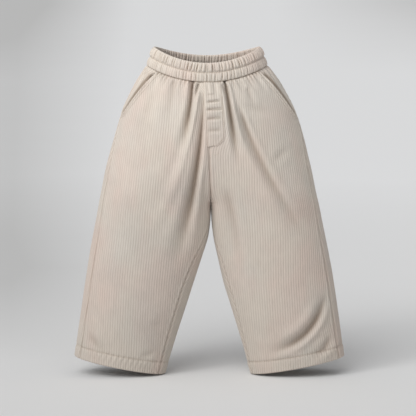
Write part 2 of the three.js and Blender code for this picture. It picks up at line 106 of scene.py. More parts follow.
# The folds, as seen from the front or from behind: three points of the trough, its half widths, its
# depth, the shares of its length over which it deepens and dies away, and how much gentler its slope is
# on the viewer's left than on the right. A depth below zero is a ridge.
FOLDS = {
    "front": [
        # the wearer's right leg
        [-25, -14, -33, -84, -47, -146, 2.6, 7, 6.6, 0.07, 0.6, 0.2],
        [-18, -30, -20, -42, -26, -60, 2.5, 3, 3, 0.05, 0.5, 0],
        [-6, -20, -24, -199, -66, -358, 1.6, 14, 8.4, 0.42, 0.45, 0.1],
        [-15, -34, -43, -165, -103, -300, 3.6, 14, -4, 0.08, 0.5, 0],
        [-11, -160, -19, -222, -31, -298, 4, 6, -2.2, 0.3, 0.4, 0],
        [-55, -22, -64, -66, -72, -112, 6, 9, 2, 0.1, 0.7, 0],
        [-84, -26, -108, -92, -118, -150, 8, 16, 1.6, 0.3, 0.7, 0],
        [-76, -436, -88, -441, -101, -455, 6, 8, 0.9, 0.4, 0.6, 0],
        [-88, -486, -106, -494, -122, -497, 5, 6, 1.4, 0.4, 0.6, 0],
        [-205, -448, -190, -476, -160, -496, 6, 7, 2, 0.4, 0.6, 0],
        # the wearer's left leg
        [26, -14, 38, -88, 51, -170, 2.8, 6, 7.6, 0.06, 0.5, 0],
        [22, -29, 25, -38, 31, -50, 2.3, 2.6, 1.8, 0.2, 0.5, 0],
        [50, -60, 93, -170, 184, -322, 3.6, 10, 4.4, 0.2, 0.45, 0.1],
        [39, -50, 52, -112, 84, -186, 3.4, 6, -3, 0.2, 0.5, 0],
        [64, -34, 70, -52, 78, -74, 4, 6, 2, 0.2, 0.7, 0],
        [48, -60, 82, -72, 116, -80, 8, 9, 1.6, 0.5, 0.5, 0],
        [104, -162, 120, -150, 134, -132, 7, 7, 1.4, 0.5, 0.5, 0],
        [27, -198, 41, -268, 58, -378, 9, 15, 4.4, 0.4, 0.6, 0.2],
        [199, -385, 164, -457, 92, -489, 6.5, 8, 7.5, 0.3, 0.45, 0.2],
        [205, -458, 196, -484, 166, -495, 6, 7, 3.4, 0.35, 0.5, 0],
    ],
    "back": [
        [-21, -14, -29, -86, -44, -160, 3.4, 10, 4.6, 0.06, 0.7, 0.1],
        [-58, -12, -72, -76, -92, -140, 4, 11, 3, 0.06, 0.7, 0],
        [-8, -196, -48, -238, -104, -252, 9, 12, 4.2, 0.4, 0.6, 0],
        [-22, -258, -66, -330, -96, -420, 9, 16, 5, 0.4, 0.6, 0.2],
        [-196, -330, -160, -384, -110, -404, 8, 10, 3, 0.4, 0.6, 0],
        [-204, -430, -178, -466, -120, -484, 8, 10, 4, 0.4, 0.5, 0],
        [23, -14, 32, -80, 50, -150, 3.4, 10, 4.2, 0.06, 0.7, 0.1],
        [63, -12, 75, -66, 98, -124, 4, 11, 3.2, 0.06, 0.7, 0],
        [8, -200, 52, -246, 112, -266, 9, 12, 4.4, 0.4, 0.6, 0],
        [24, -262, 62, -336, 100, -430, 9, 16, 4.6, 0.4, 0.6, 0.2],
        [188, -300, 158, -356, 104, -382, 8, 10, 3.2, 0.4, 0.6, 0],
        [92, -462, 130, -478, 186, -470, 9, 10, 3.4, 0.5, 0.5, 0],
    ],
}
FOLD_STEPS = 30
SHOULDER = 0.32  # a trough throws up a ridge on each side, this share of its depth
CREASED = 0.4  # the share of a trough's depth that is a sharp crease where it starts
WIDENS_LATE = 1.3  # above 1, a fold stays narrow for longer
FULL_PAINTED_SHADE_AT = 7.5  # a trough this deep gets the most painted shade
BACK_FOLD_PAINTED_SHADE = 0.35  # the folds behind are shallower, and get this share of the painted shade

# The gathers under the waist seam, the broad ones and the small ones that the elastic leaves.
GATHERS = 40
GATHER_DEPTH = 1.7
GATHER_REACH = 42
PUCKERS = 84
PUCKER_DEPTH = 1.25
PUCKER_REACH = 11

# The slant pockets.
POCKET = {"top_x": 85, "top_z": -12, "bottom_x": 151, "bottom_z": -98, "bow": 4}
POCKET_GAPE = 3
POCKET_DIP = 3.4
POCKET_REACH = 9
POCKET_UNDERLAP = 17
POCKET_STITCHES = (4.4, 8.8)
POCKET_BOTTOM = -116
FACING_ROWS = 64
FACING_COLUMNS = 72
FACING_THICKNESS = 1.3

# The mock fly, and the crosswise creases in it: height, depth, half width, slant, and the shares of the
# fly's width where each starts and ends.
FLY_LEFT = -5.2
FLY_LEFT_FOOT = -2.6
FLY_RIGHT = 22
FLY_RIGHT_FOOT = 27
FLY_CORNER = -109.5
FLY_BOTTOM = -133
FLY_CREASES = [
    [-40, 0.7, 2.0, 0.03, 0.1, 0.6],
    [-53.5, 1.7, 2.4, 0.1, 0.05, 0.9],
    [-67.5, 1.9, 2.6, 0.05, 0.0, 1.0],
    [-84, 1.6, 3.6, 0.1, 0.0, 0.9],
    [-105, 1.1, 4.0, 0.06, 0.05, 0.85],
]
FLY_STITCH_INSETS = (1.8, 8.5)
FLY_ROWS = 100
FLY_COLUMNS = 48
FLY_RAISED = 0.9
FLY_EDGE_RAISED = 1.5  # how much more the folded edge stands up
TACK_Z = -151
TACK_SLANT = 0.42
TACK_LENGTH = 17

# The waistband's profile, from the waist seam up the outside, over the rim and down the inside: height,
# distance outside the band's middle, and the shares of the lower and the upper ruffles.
BAND_HEIGHT = 31.5
BAND_MIDDLE = -2.5
BAND_STITCHED_AT = 15.4  # the height of the stitches between the two rows of elastic
BAND_WALES = 142
WAIST_OUTER = 100
WAIST_FRONT = 62
WAIST_BACK = 64
WAIST_SADDLE = 11.5
RIM_OUTER = 88.7
RIM_FRONT = 57
RIM_BACK = 59
BAND_PROFILE = [
    [0.3, 1.2, 0.3, 0],
    [2.5, 2.2, 0.8, 0],
    [7.5, 2.7, 1, 0],
    [12.3, 2.3, 0.8, 0],
    [14.4, 1.3, 0.25, 0.1],
    [15.4, 0.5, 0.05, 0.1],
    [16.5, 1.3, 0, 0.4],
    [19, 2.5, 0, 0.95],
    [24, 2.6, 0, 1],
    [28, 2.0, 0, 0.8],
    [30.6, 1.0, 0, 0.3],
    [31.5, -0.2, 0, 0.2],
    [30.8, -1.5, 0, 0.3],
    [28, -2.2, 0, 0.7],
    [22, -2.5, 0, 0.8],
    [15.5, -1.7, 0.2, 0.2],
    [8, -2.5, 0.8, 0],
    [0.3, -2.4, 0.3, 0],
]
RUFFLES_UPPER = 98
RUFFLES_LOWER = 92
RUFFLE_DEPTH_UPPER = 3
RUFFLE_DEPTH_LOWER = 1.6


def smooth_step(low, high, value):
    share = np.clip((value - low) / (high - low), 0, 1)
    return share * share * (3 - 2 * share)


def bell(away, width):
    """1 on a line, falling away to both sides of it."""
    return np.exp(-((away / width) ** 2))


def scatter(number, seed):
    """An even spread of values from 0 to 1 that look thrown, the same on each run."""
    wave = np.sin(np.asarray(number, float) * 12.9898 + seed * 78.233) * 43758.5453
    return wave - np.floor(wave)


# The cut


def levels_at(heights):
    """The sizes of the trousers at any heights, with the steps between the levels blended."""
    fine = np.arange(HEM_Z, WAIST_Z + 0.5, 1.0)
    reach = ROUNDING * 3
    weights = np.exp(-0.5 * (np.arange(-reach, reach + 1) / ROUNDING) ** 2)
    weights /= weights.sum()
    table = {"z": np.asarray(heights, float)}
    for column, name in enumerate(LEVEL_COLUMNS[1:], 1):
        values = np.interp(fine, LEVELS[::-1, 0], LEVELS[::-1, column])
        padded = np.pad(values, reach, mode="reflect", reflect_type="odd")
        table[name] = np.interp(table["z"], fine, np.convolve(padded, weights, "valid"))
    return {name: values[:, None] for name, values in table.items()}


def steeper(sin, corner):
    """How much faster the depth changes with the angle than an ellipse's does."""
    return corner * np.maximum(np.abs(sin), 0.002) ** (corner - 1)


def of_side(side, levels):
    """A leg's half width, centre and outer side at each level."""
    outer = levels["outer_left" if side == LEFT else "outer_right"]
    inner = levels["inner_left" if side == LEFT else "inner_right"]
    return (outer - inner) / 2, (outer + inner) / 2, outer


def folded(rows, x, z):
    """How far a list of folds moves the cloth at points seen from one side, and how much painted shade
    their troughs get.
    """
    moved, shade = np.zeros_like(x), np.zeros_like(x)
    shares = np.linspace(0, 1, FOLD_STEPS + 1)
    for row in rows:
        start, end = np.array(row[0:2]), np.array(row[4:6])
        control = 2 * np.array(row[2:4]) - (start + end) / 2
        first, last, depth, start_fade, end_fade, lean = row[6:12]
        t = shares[:, None]
        curve = start * (1 - t) ** 2 + control * 2 * t * (1 - t) + end * t**2
        reach = 5 * max(first, last)
        low, high = curve.min(axis=0) - reach, curve.max(axis=0) + reach
        near = (x > low[0]) & (x < high[0]) & (z > low[1]) & (z < high[1])
        if not near.any():
            continue
        px, pz = x[near], z[near]
        nearest = np.full(px.shape, 1e9)
        along = np.zeros(px.shape)
        beside = np.zeros(px.shape)
        for i in range(FOLD_STEPS):
            step = curve[i + 1] - curve[i]
            to_x, to_z = px - curve[i, 0], pz - curve[i, 1]
            share = np.clip((to_x * step[0] + to_z * step[1]) / (step @ step), 0, 1)
            away = np.hypot(to_x - step[0] * share, to_z - step[1] * share)
            closer = away < nearest
            nearest = np.where(closer, away, nearest)
            along = np.where(closer, (i + share) / FOLD_STEPS, along)
            beside = np.where(closer, step[0] * to_z - step[1] * to_x, beside)
        leant = 1 - lean * np.clip(np.sign(beside) * nearest / (0.5 * first), -1, 1)
        width = (first + (last - first) * along**WIDENS_LATE) * leant
        across = nearest / width
        sharp = CREASED * (1 - smooth_step(0.05, 0.55, along))
        core = bell(across, 0.42)
        trough = -(1 - 0.6 * sharp) * bell(across, 1) - sharp * core
        trough = trough + SHOULDER * bell(across - 2, 1)
        ends = smooth_step(0, start_fade, along) * (1 - smooth_step(1 - end_fade, 1, along))
        moved[near] += depth * trough * ends
        # Painted shade in the troughs: the deeper and narrower a trough, the darker it is painted.
        narrow = np.clip(1.5 - width / 12, 0.25, 1.2)
        shade[near] += max(depth, 0) / FULL_PAINTED_SHADE_AT * narrow * bell(across, 0.7) * ends
    return moved, shade


def gathered(turn, z):
    """The waves that the elastic leaves under the waist seam, uneven in spacing and depth."""
    below = WAIST_Z - z
    caught = 0.4 + 0.6 * smooth_step(0, 8, below)
    uneven = 0.9 * np.sin(7 * turn) + 0.6 * np.sin(3 * turn)
    broad = GATHER_DEPTH * caught * (1 - smooth_step(0, GATHER_REACH, below))
    return broad * (0.75 + 0.25 * np.sin(5 * turn)) * np.cos(GATHERS * turn + uneven)


def cloth_points(side, levels, turn, out):
    """Points of a leg's cloth. turn is the angle round the tube from its inner side through the front."""
    half, centre, outer = of_side(side, levels)
    cos, sin = np.cos(turn), np.sin(turn)
    is_front = sin > 0
    depth = np.where(is_front, levels["front"], levels["back"])
    corner = np.where(cos > 0, levels["corner"], 1)
    x = centre - half * cos
    y = -depth * np.sign(sin) * np.abs(sin) ** corner
    drop = np.where(is_front, 1, BACK_SADDLE) * sin**2
    z = levels["z"] + levels["saddle"] * ((x / outer) ** 2 - drop)
    z = z + levels["lift"] * (x - centre) / (2 * half)
    normal_x, normal_y = -cos * depth * steeper(sin, corner), -sin * half
    length = np.hypot(normal_x, normal_y)
    normal_x, normal_y = normal_x / length, normal_y / length
    facing = smooth_step(0.05, 0.45, np.abs(normal_y))
    seen_x = levels["middle"] + side * x
    front, _ = folded(FOLDS["front"], np.where(is_front, seen_x, 1e6), z)
    back, _ = folded(FOLDS["back"], np.where(is_front, 1e6, seen_x), z)
    moved = out + facing * (front + back) + gathered(turn, levels["z"] + 0 * turn)
    away = np.maximum(x + normal_x * moved, SEAM_GAP / 2)
    return np.stack([levels["middle"] + side * away, y + normal_y * moved, z], axis=-1)


def arc_speed(side, levels, turn):
    """The length of cloth for each radian round the tube."""
    cos, sin = np.cos(turn), np.sin(turn)
    depth = np.where(sin > 0, levels["front"], levels["back"])
    corner = np.where(cos > 0, levels["corner"], 1)
    return np.hypot(of_side(side, levels)[0] * sin, depth * cos * steeper(sin, corner))


def crossing(measure, low, high):
    """The angle of each row where a rising measure crosses zero."""
    for _ in range(26):
        middle = (low + high) / 2
        above = measure(middle) > 0
        low, high = np.where(above, low, middle), np.where(above, middle, high)
    return (low + high) / 2


def inner_turn(side, sign, levels):
    """Where the centre seam or the inseam bounds a panel. sign is 1 in front and -1 behind."""
    inner = levels["inner_left" if side == LEFT else "inner_right"]
    inseam = np.radians(levels["inseam_left" if side == LEFT else "inseam_right"])
    low = np.zeros_like(inner)

    def beyond(turn):
        away = side * (cloth_points(side, levels, sign * turn, WALL / 2)[..., 0] - levels["middle"])
        return away - SEAM_GAP / 2 - 1e-3

    seam = sign * crossing(beyond, low, low + math.radians(99))
    below = inseam + sign * SEAM_GAP / 2 / arc_speed(side, levels, inseam)
    return np.where(inner < SEAM_GAP, seam, below)


def side_turn(levels):
    return math.pi - np.radians(levels["side_turn"])


def pocket_line(z):
    share = (z - POCKET["top_z"]) / (POCKET["bottom_z"] - POCKET["top_z"])
    bow = POCKET["bow"] * 4 * share * np.maximum(0, 1 - share)
    return POCKET["top_x"] + (POCKET["bottom_x"] - POCKET["top_x"]) * share + bow


def pocket_turn(side, levels):
    """Where the pocket opening crosses each level, or half a turn below the pocket."""

    def past(turn):
        points = cloth_points(side, levels, turn, 0)
        return side * points[..., 0] - pocket_line(points[..., 2])

    high = np.full_like(levels["z"], math.pi)
    found = crossing(past, high * 0 + math.radians(94), high)
    return np.where(past(high) < 0, high, found)


def even_turns(side, levels, start, end, count):
    """Angles from start to end with even lengths of cloth between them."""
    share = np.linspace(0, 1, 241)[None, :]
    turns = start + (end - start) * share
    middle = (turns[:, 1:] + turns[:, :-1]) / 2
    lengths = np.cumsum(arc_speed(side, levels, middle), axis=1)
    lengths = np.concatenate([np.zeros_like(start), lengths], axis=1)
    wanted = np.linspace(0, 1, count + 1)
    rows = [np.interp(wanted * row[-1], row, turn) for row, turn in zip(lengths, turns)]
    return np.array(rows)


def panel_turns(side, sign, levels, start, end, count):
    """A panel's angles, in two even runs that meet on a line near its inner edge.

    The inner edge jumps from the centre seam to the inseam at the crotch. The line goes straight on
    there, so that the columns of points outside it do too."""
    half, centre, _ = of_side(side, levels)
    inner = levels["inner_left" if side == LEFT else "inner_right"]
    line = np.arccos((centre - np.maximum(inner, 0) - FORK_WIDTH) / half)
    fork = count // 5
    within = even_turns(side, levels, start, sign * line, fork)
    beyond = even_turns(side, levels, sign * line, end, count - fork)
    return np.concatenate([within, beyond[:, 1:]], axis=1)


def surface_normals(points, ringed=False):
    """Normals of a grid of points, pointing out of the tube."""
    if ringed:
        around = np.roll(points, -1, axis=1) - np.roll(points, 1, axis=1)
    else:
        around = np.gradient(points, axis=1)
    down = np.gradient(points, axis=0)
    normals = np.cross(around, down)
    return normals / np.maximum(np.linalg.norm(normals, axis=-1, keepdims=True), 1e-9)


def rib(wales):
    """The height of the ribs over the cloth, for a place counted in wales."""
    wave = 0.5 + 0.5 * np.cos(2 * np.pi * wales)
    return wave**0.8 - 0.5


# Meshes


def mesh_piece(name, positions, faces, uvs, painted_shade, inner_faces, materials):
    """A finished cloth piece of the trousers, with its faces turned out and its parts' finishes."""
    positions = np.asarray(positions, float)
    if volume_of(positions, faces) < 0:
        faces = [face[::-1] for face in faces]
    mesh = bpy.data.meshes.new(name)
    mesh.from_pydata((positions * MM).tolist(), [], faces)
    layer = mesh.uv_layers.new(name="Cloth")
    indices = np.empty(len(mesh.loops), dtype=np.int32)
    mesh.loops.foreach_get("vertex_index", indices)
    layer.data.foreach_set("uv", np.asarray(uvs, dtype=np.float32)[indices].ravel())
    # Each point's painted shade, darker where shade falls in seams, gathers, folds and gaps, is kept as an
    # attribute for the cloth's material.
    mesh.attributes.new("PaintedShade", "FLOAT", "POINT").data.foreach_set("value", np.ravel(painted_shade))
    for material in materials:
        mesh.materials.append(material)
    slots = np.zeros(len(mesh.polygons), dtype=np.int32)
    slots[np.asarray(inner_faces, dtype=np.int32)] = len(materials) - 1
    mesh.polygons.foreach_set("material_index", slots)
    mesh.polygons.foreach_set("use_smooth", np.ones(len(mesh.polygons), dtype=bool))
    mesh.set_sharp_from_angle(angle=math.radians(50))
    mesh.validate()
    piece = bpy.data.objects.new(name, mesh)
    bpy.context.collection.objects.link(piece)
    return piece


def cloth_wall(name, outer, outer_uv, painted_shade, inner, inner_uv, materials, ringed=False):
    """A wall of cloth between a fine outer grid and a coarse inner one whose points it shares out."""
    rows, columns = outer.shape[:2]
    inner_rows, inner_columns = inner.shape[:2]
    down = (rows - 1) // (inner_rows - 1)
    over = columns // inner_columns if ringed else (columns - 1) // (inner_columns - 1)
    positions = np.concatenate([outer.reshape(-1, 3), inner.reshape(-1, 3)])
    uvs = np.concatenate([outer_uv.reshape(-1, 2), inner_uv.reshape(-1, 2)])
    painted_shade = np.concatenate([np.clip(painted_shade, 0, 1).ravel(), np.zeros(inner_rows * inner_columns)])
    start = rows * columns

    def at(row, column):
        return row * columns + column % columns

    def inside(row, column):
        return start + row * inner_columns + column % inner_columns

    faces = []
    last = columns if ringed else columns - 1
    for row in range(rows - 1):
        for column in range(last):
            faces.append(
                (
                    at(row, column),
                    at(row, column + 1),
                    at(row + 1, column + 1),
                    at(row + 1, column),
                )
            )
    inner_faces = []
    inner_last = inner_columns if ringed else inner_columns - 1
    for row in range(inner_rows - 1):
        for column in range(inner_last):
            inner_faces.append(len(faces))
            faces.append(
                (
                    inside(row, column),
                    inside(row + 1, column),
                    inside(row + 1, column + 1),
                    inside(row, column + 1),
                )
            )
    for k in range(inner_last):
        run = range(k * over, (k + 1) * over + 1)
        faces.append(tuple(at(0, c) for c in reversed(run)) + (inside(0, k), inside(0, k + 1)))
        foot = inner_rows - 1
        faces.append(tuple(at(rows - 1, c) for c in run) + (inside(foot, k + 1), inside(foot, k)))
    if not ringed:
        for k in range(inner_rows - 1):
            run = range(k * down, (k + 1) * down + 1)
            edge = inner_columns - 1
            faces.append(tuple(at(r, 0) for r in run) + (inside(k + 1, 0), inside(k, 0)))
            faces.append(
                tuple(at(r, columns - 1) for r in reversed(run)) + (inside(k, edge), inside(k + 1, edge))
            )
    return mesh_piece(name, positions, faces, uvs, painted_shade, inner_faces, materials)


def lengths_across(points):
    """How far each point of a grid lies along its row from the row's first point."""
    steps = np.linalg.norm(np.diff(points, axis=1), axis=-1)
    return np.concatenate([np.zeros((points.shape[0], 1)), np.cumsum(steps, axis=1)], axis=1)


def lengths_down(points):
    middle = points[:, points.shape[1] // 2]
    steps = np.linalg.norm(np.diff(middle, axis=0), axis=-1)
    down = np.concatenate([[0], np.cumsum(steps)])
    return np.repeat(down[:, None], points.shape[1], axis=1)


def volume_of(positions, faces):
    """Six times the volume that closed faces enclose, below zero where they face inwards."""
    by_size = {}
    for face in faces:
        by_size.setdefault(len(face), []).append(face)
    total = 0.0
    for size, group in by_size.items():
        corners = positions[np.array(group)]
        for k in range(1, size - 1):
            total += np.einsum("ij,ij->", corners[:, 0], np.cross(corners[:, k], corners[:, k + 1]))
    return total


def grid_at(grid, row, column):
    """Points of a grid between its rows and columns."""
    row = np.clip(row, 0, grid.shape[0] - 1.001)
    column = np.clip(column, 0, grid.shape[1] - 1.001)
    r, c = row.astype(int), column.astype(int)
    down, along = (row - r)[:, None], (column - c)[:, None]
    upper = grid[r, c] * (1 - along) + grid[r, c + 1] * along
    lower = grid[r + 1, c] * (1 - along) + grid[r + 1, c + 1] * along
    return upper * (1 - down) + lower * down


# Materials

COOL_SHARE = 0.5
# How much the furrows between the ribs take of their colour: the darker ground there, with painted shade.
GROOVE_GROUND_AND_SHADE_SHARE = 0.48
# How far the deepest painted shade mixes the cloth's colour towards its dark brown.
PAINTED_SHADE_SHARE = 0.66
PAINTED_LIGHT_AT_WAIST = 1.06  # the cloth's painted brightness at the waist, and how much painted shade darkens it with each metre below, as the light falls off towards the hems
PAINTED_SHADE_PER_METRE = 0.38
RIB_BUMP = (0.0007, 0.27)
FUZZ_BUMP = (0.0005, 0.5)


def new_group(name, inputs, outputs):
    """An empty shader node group with named sockets, and its ends."""
    group = bpy.data.node_groups.new(name, "ShaderNodeTree")
    for label, kind in inputs:
        group.interface.new_socket(label, in_out="INPUT", socket_type=kind)
    for label, kind in outputs:
        group.interface.new_socket(label, in_out="OUTPUT", socket_type=kind)
    start = group.nodes.new("NodeGroupInput")
    end = group.nodes.new("NodeGroupOutput")
    return group, start, end


def calculated(tree, operation, first, second=None, third=None):
    """The result of one Math node, whose inputs are sockets or numbers."""
    node = tree.nodes.new("ShaderNodeMath")
    node.operation = operation
    for socket, value in zip(node.inputs, (first, second, third)):
        if value is None:
            continue
        if isinstance(value, (int, float)):
            socket.default_value = value
        else:
            tree.links.new(value, socket)
    return node.outputs[0]


def noise(tree, place, scale, detail, roughness=0.5):
    node = tree.nodes.new("ShaderNodeTexNoise")
    node.inputs["Scale"].default_value = scale
    node.inputs["Detail"].default_value = detail
    node.inputs["Roughness"].default_value = roughness
    tree.links.new(place, node.inputs["Vector"])
    return node.outputs["Fac"]


def stretched(tree, place, scale):
    node = tree.nodes.new("ShaderNodeMapping")
    node.inputs["Scale"].default_value = scale
    tree.links.new(place, node.inputs["Vector"])
    return node.outputs["Vector"]


def make_cord_ribs():
    """The ribs of the cord across the first direction of the cloth, counted in wales."""
    group, start, end = new_group(
        "Cord ribs",
        [("Cloth", "NodeSocketVector")],
        [("Height", "NodeSocketFloat"), ("Groove", "NodeSocketFloat")],
    )
    parts = group.nodes.new("ShaderNodeSeparateXYZ")
    group.links.new(start.outputs["Cloth"], parts.inputs[0])
    wander = noise(group, stretched(group, start.outputs["Cloth"], (0.9, 0.16, 1)), 1.0, 1.0)
    wander = calculated(group, "MULTIPLY_ADD", wander, 0.16, -0.08)
    wales = calculated(group, "ADD", parts.outputs[0], wander)
    wave = calculated(group, "COSINE", calculated(group, "MULTIPLY", wales, 2 * math.pi))
    height = calculated(group, "MULTIPLY_ADD", wave, 0.5, 0.5)
    group.links.new(calculated(group, "POWER", height, 0.55), end.inputs["Height"])
    depth = calculated(group, "SUBTRACT", 1.0, height)
    group.links.new(calculated(group, "POWER", depth, 3.0), end.inputs["Groove"])
    return group


def make_brushed_pile():
    """The brushed pile: streaks along each rib, soft blotches and the fuzz itself."""
    group, start, end = new_group(
        "Brushed pile",
        [("Cloth", "NodeSocketVector"), ("Object", "NodeSocketVector")],
        [
            ("Streaks", "NodeSocketFloat"),
            ("Blotches", "NodeSocketFloat"),
            ("Warmth", "NodeSocketFloat"),
            ("Coolness", "NodeSocketFloat"),
            ("Fuzz", "NodeSocketFloat"),
        ],
    )
    cloth, place = start.outputs["Cloth"], start.outputs["Object"]
    group.links.new(noise(group, stretched(group, cloth, (1.3, 0.22, 1)), 1.0, 2.0), end.inputs["Streaks"])
    group.links.new(noise(group, place, 26.0, 3.0, 0.6), end.inputs["Blotches"])
    group.links.new(noise(group, stretched(group, place, (1, 1, 0.55)), 17.0, 2.0), end.inputs["Warmth"])
    elsewhere = stretched(group, place, (0.9, 1, -0.6))
    group.links.new(noise(group, elsewhere, 15.0, 2.0), end.inputs["Coolness"])
    fine = noise(group, stretched(group, cloth, (7, 3, 1)), 1.0, 4.0, 0.65)
    group.links.new(fine, end.inputs["Fuzz"])
    return group


CORD_RIBS = make_cord_ribs()
BRUSHED_PILE = make_brushed_pile()


def mixed_colour(tree, share, first, second):
    node = tree.nodes.new("ShaderNodeMix")
    node.data_type = "RGBA"
    tree.links.new(share, node.inputs[0])
    for socket, value in ((node.inputs[6], first), (node.inputs[7], second)):
        if isinstance(value, tuple):
            socket.default_value = (*value, 1)
        else:
            tree.links.new(value, socket)
    return node.outputs[2]


def bumped(tree, height, distance, strength, normal=None):
    node = tree.nodes.new("ShaderNodeBump")
    node.inputs["Distance"].default_value = distance
    node.inputs["Strength"].default_value = strength
    tree.links.new(height, node.inputs["Height"])
    if normal is not None:
        tree.links.new(normal, node.inputs["Normal"])
    return node.outputs["Normal"]


def new_cloth_material(name, roughness, sheen):
    material = bpy.data.materials.new(name)
    material.use_nodes = True
    tree = material.node_tree
    shader = tree.nodes["Principled BSDF"]
    shader.inputs["Roughness"].default_value = roughness
    shader.inputs["Sheen Weight"].default_value = sheen
    shader.inputs["Sheen Roughness"].default_value = 0.45
    shader.inputs["Sheen Tint"].default_value = (1.0, 0.96, 0.9, 1)
    shader.inputs["Specular IOR Level"].default_value = 0.15
    return material, tree, shader


def make_corduroy(name, light, warm, cool, groove_ground_and_shade, painted_shade_colour):
    """Wide-wale corduroy: pale brushed ribs and the darker ground between them, with painted shade in the
    furrows, in the hollows and towards the hems.
    """
    material, tree, shader = new_cloth_material(name, 0.95, 0.22)
    uv = tree.nodes.new("ShaderNodeUVMap")
    uv.uv_map = "Cloth"
    coords = tree.nodes.new("ShaderNodeTexCoord")
    ribs = tree.nodes.new("ShaderNodeGroup")
    ribs.node_tree = CORD_RIBS
    tree.links.new(uv.outputs["UV"], ribs.inputs["Cloth"])
    pile = tree.nodes.new("ShaderNodeGroup")
    pile.node_tree = BRUSHED_PILE
    tree.links.new(uv.outputs["UV"], pile.inputs["Cloth"])
    tree.links.new(coords.outputs["Object"], pile.inputs["Object"])
    warmth = calculated(tree, "MULTIPLY_ADD", pile.outputs["Warmth"], 4.6, -1.95)
    warmth.node.use_clamp = True
    coolness = calculated(tree, "MULTIPLY_ADD", pile.outputs["Coolness"], 3.2, -1.35)
    coolness.node.use_clamp = True
    colour = mixed_colour(tree, warmth, light, warm)
    colour = mixed_colour(tree, calculated(tree, "MULTIPLY", coolness, COOL_SHARE), colour, cool)
    # Between the ribs: the darker ground, darkened further by painted shade.
    between = calculated(tree, "MULTIPLY", ribs.outputs["Groove"], GROOVE_GROUND_AND_SHADE_SHARE)
    colour = mixed_colour(tree, between, colour, groove_ground_and_shade)
    parts = tree.nodes.new("ShaderNodeSeparateXYZ")
    tree.links.new(coords.outputs["Object"], parts.inputs[0])
    shade = calculated(tree, "MULTIPLY_ADD", pile.outputs["Streaks"], 0.14, 0.94)
    # Painted shade: the cloth is darker towards the hems, where less light falls.
    lower = calculated(tree, "MULTIPLY_ADD", parts.outputs[2], PAINTED_SHADE_PER_METRE, PAINTED_LIGHT_AT_WAIST)
    shade = calculated(tree, "MULTIPLY", shade, lower)
    blotches = calculated(tree, "MULTIPLY_ADD", pile.outputs["Blotches"], 0.16, 0.92)
    shade = calculated(tree, "MULTIPLY", shade, blotches)
    shaded = tree.nodes.new("ShaderNodeMix")
    shaded.data_type = "RGBA"
    shaded.blend_type = "MULTIPLY"
    shaded.inputs[0].default_value = 1
    tree.links.new(colour, shaded.inputs[6])
    tree.links.new(shade, shaded.inputs[7])
    # Painted shade: the colour mixes towards a dark brown where each point's painted shade says shade
    # falls.
    painted_shade = tree.nodes.new("ShaderNodeAttribute")
    painted_shade.attribute_name = "PaintedShade"
    depth = calculated(tree, "MULTIPLY", painted_shade.outputs["Fac"], PAINTED_SHADE_SHARE)
    tree.links.new(mixed_colour(tree, depth, shaded.outputs[2], painted_shade_colour), shader.inputs["Base Color"])
    normal = bumped(tree, ribs.outputs["Height"], *RIB_BUMP)
    normal = bumped(tree, pile.outputs["Fuzz"], *FUZZ_BUMP, normal)
    tree.links.new(normal, shader.inputs["Normal"])
    return material


def make_cloth_back(name, light, dark):
    """The inside of the corduroy, a plain woven ground with no pile."""
    material, tree, shader = new_cloth_material(name, 0.9, 0.1)
    uv = tree.nodes.new("ShaderNodeUVMap")
    uv.uv_map = "Cloth"
    threads = stretched(tree, uv.outputs["UV"], (7, 5, 1))
    parts = tree.nodes.new("ShaderNodeSeparateXYZ")
    tree.links.new(threads, parts.inputs[0])
    warp = calculated(tree, "SINE", calculated(tree, "MULTIPLY", parts.outputs[0], 2 * math.pi))
    weft = calculated(tree, "SINE", calculated(tree, "MULTIPLY", parts.outputs[1], 2 * math.pi))
    weave = calculated(tree, "MULTIPLY_ADD", calculated(tree, "MULTIPLY", warp, weft), 0.5, 0.5)
    tree.links.new(mixed_colour(tree, weave, dark, light), shader.inputs["Base Color"])
    tree.links.new(bumped(tree, weave, 0.0003, 0.4), shader.inputs["Normal"])
    return material


def make_thread(name, light, dark):
    """Matt sewing thread, with the twist of its plies."""
    material, tree, shader = new_cloth_material(name, 0.75, 0.1)
    coords = tree.nodes.new("ShaderNodeTexCoord")
    twist = tree.nodes.new("ShaderNodeTexWave")
    twist.bands_direction = "DIAGONAL"
    twist.inputs["Scale"].default_value = 900
    tree.links.new(coords.outputs["Object"], twist.inputs["Vector"])
    tree.links.new(mixed_colour(tree, twist.outputs["Fac"], dark, light), shader.inputs["Base Color"])
    tree.links.new(bumped(tree, twist.outputs["Fac"], 0.0002, 0.3), shader.inputs["Normal"])
    return material


CORDUROY = make_corduroy(
    "Cream corduroy",
    light=(0.672, 0.606, 0.535),
    warm=(0.68, 0.57, 0.505),
    cool=(0.605, 0.58, 0.535),
    # the colour between the ribs: the darker ground, with painted shade
    groove_ground_and_shade=(0.43, 0.36, 0.295),
    # the dark brown of the painted shade
    painted_shade_colour=(0.2, 0.135, 0.085),
)
CLOTH_BACK = make_cloth_back("Back of the corduroy", (0.58, 0.52, 0.45), (0.47, 0.41, 0.35))
THREAD = make_thread("Cream thread", (0.72, 0.64, 0.55), (0.58, 0.51, 0.43))

# The panels of the legs

FRONT_ROWS = 220
BACK_ROWS = 152
FRONT_COLUMNS = 270
BACK_COLUMNS = 360
INNER_EVERY_ROWS = 4
INNER_EVERY_COLUMNS = 6
HEM_ROWS = 12
HEM_COLUMNS = 360
GAPE_START = 20
FORK_WIDTH = 36

# Where one rib of each panel runs straight down: its distance from the middle at some heights.
STRAIGHT_FRONT_Z = (15, 250, 520)
STRAIGHT_FRONT = {LEFT: (84, 100, 118), RIGHT: (78, 108, 122)}
STRAIGHT_BACK_Z = (15, 225, 520)
STRAIGHT_BACK = (62, 98, 106)

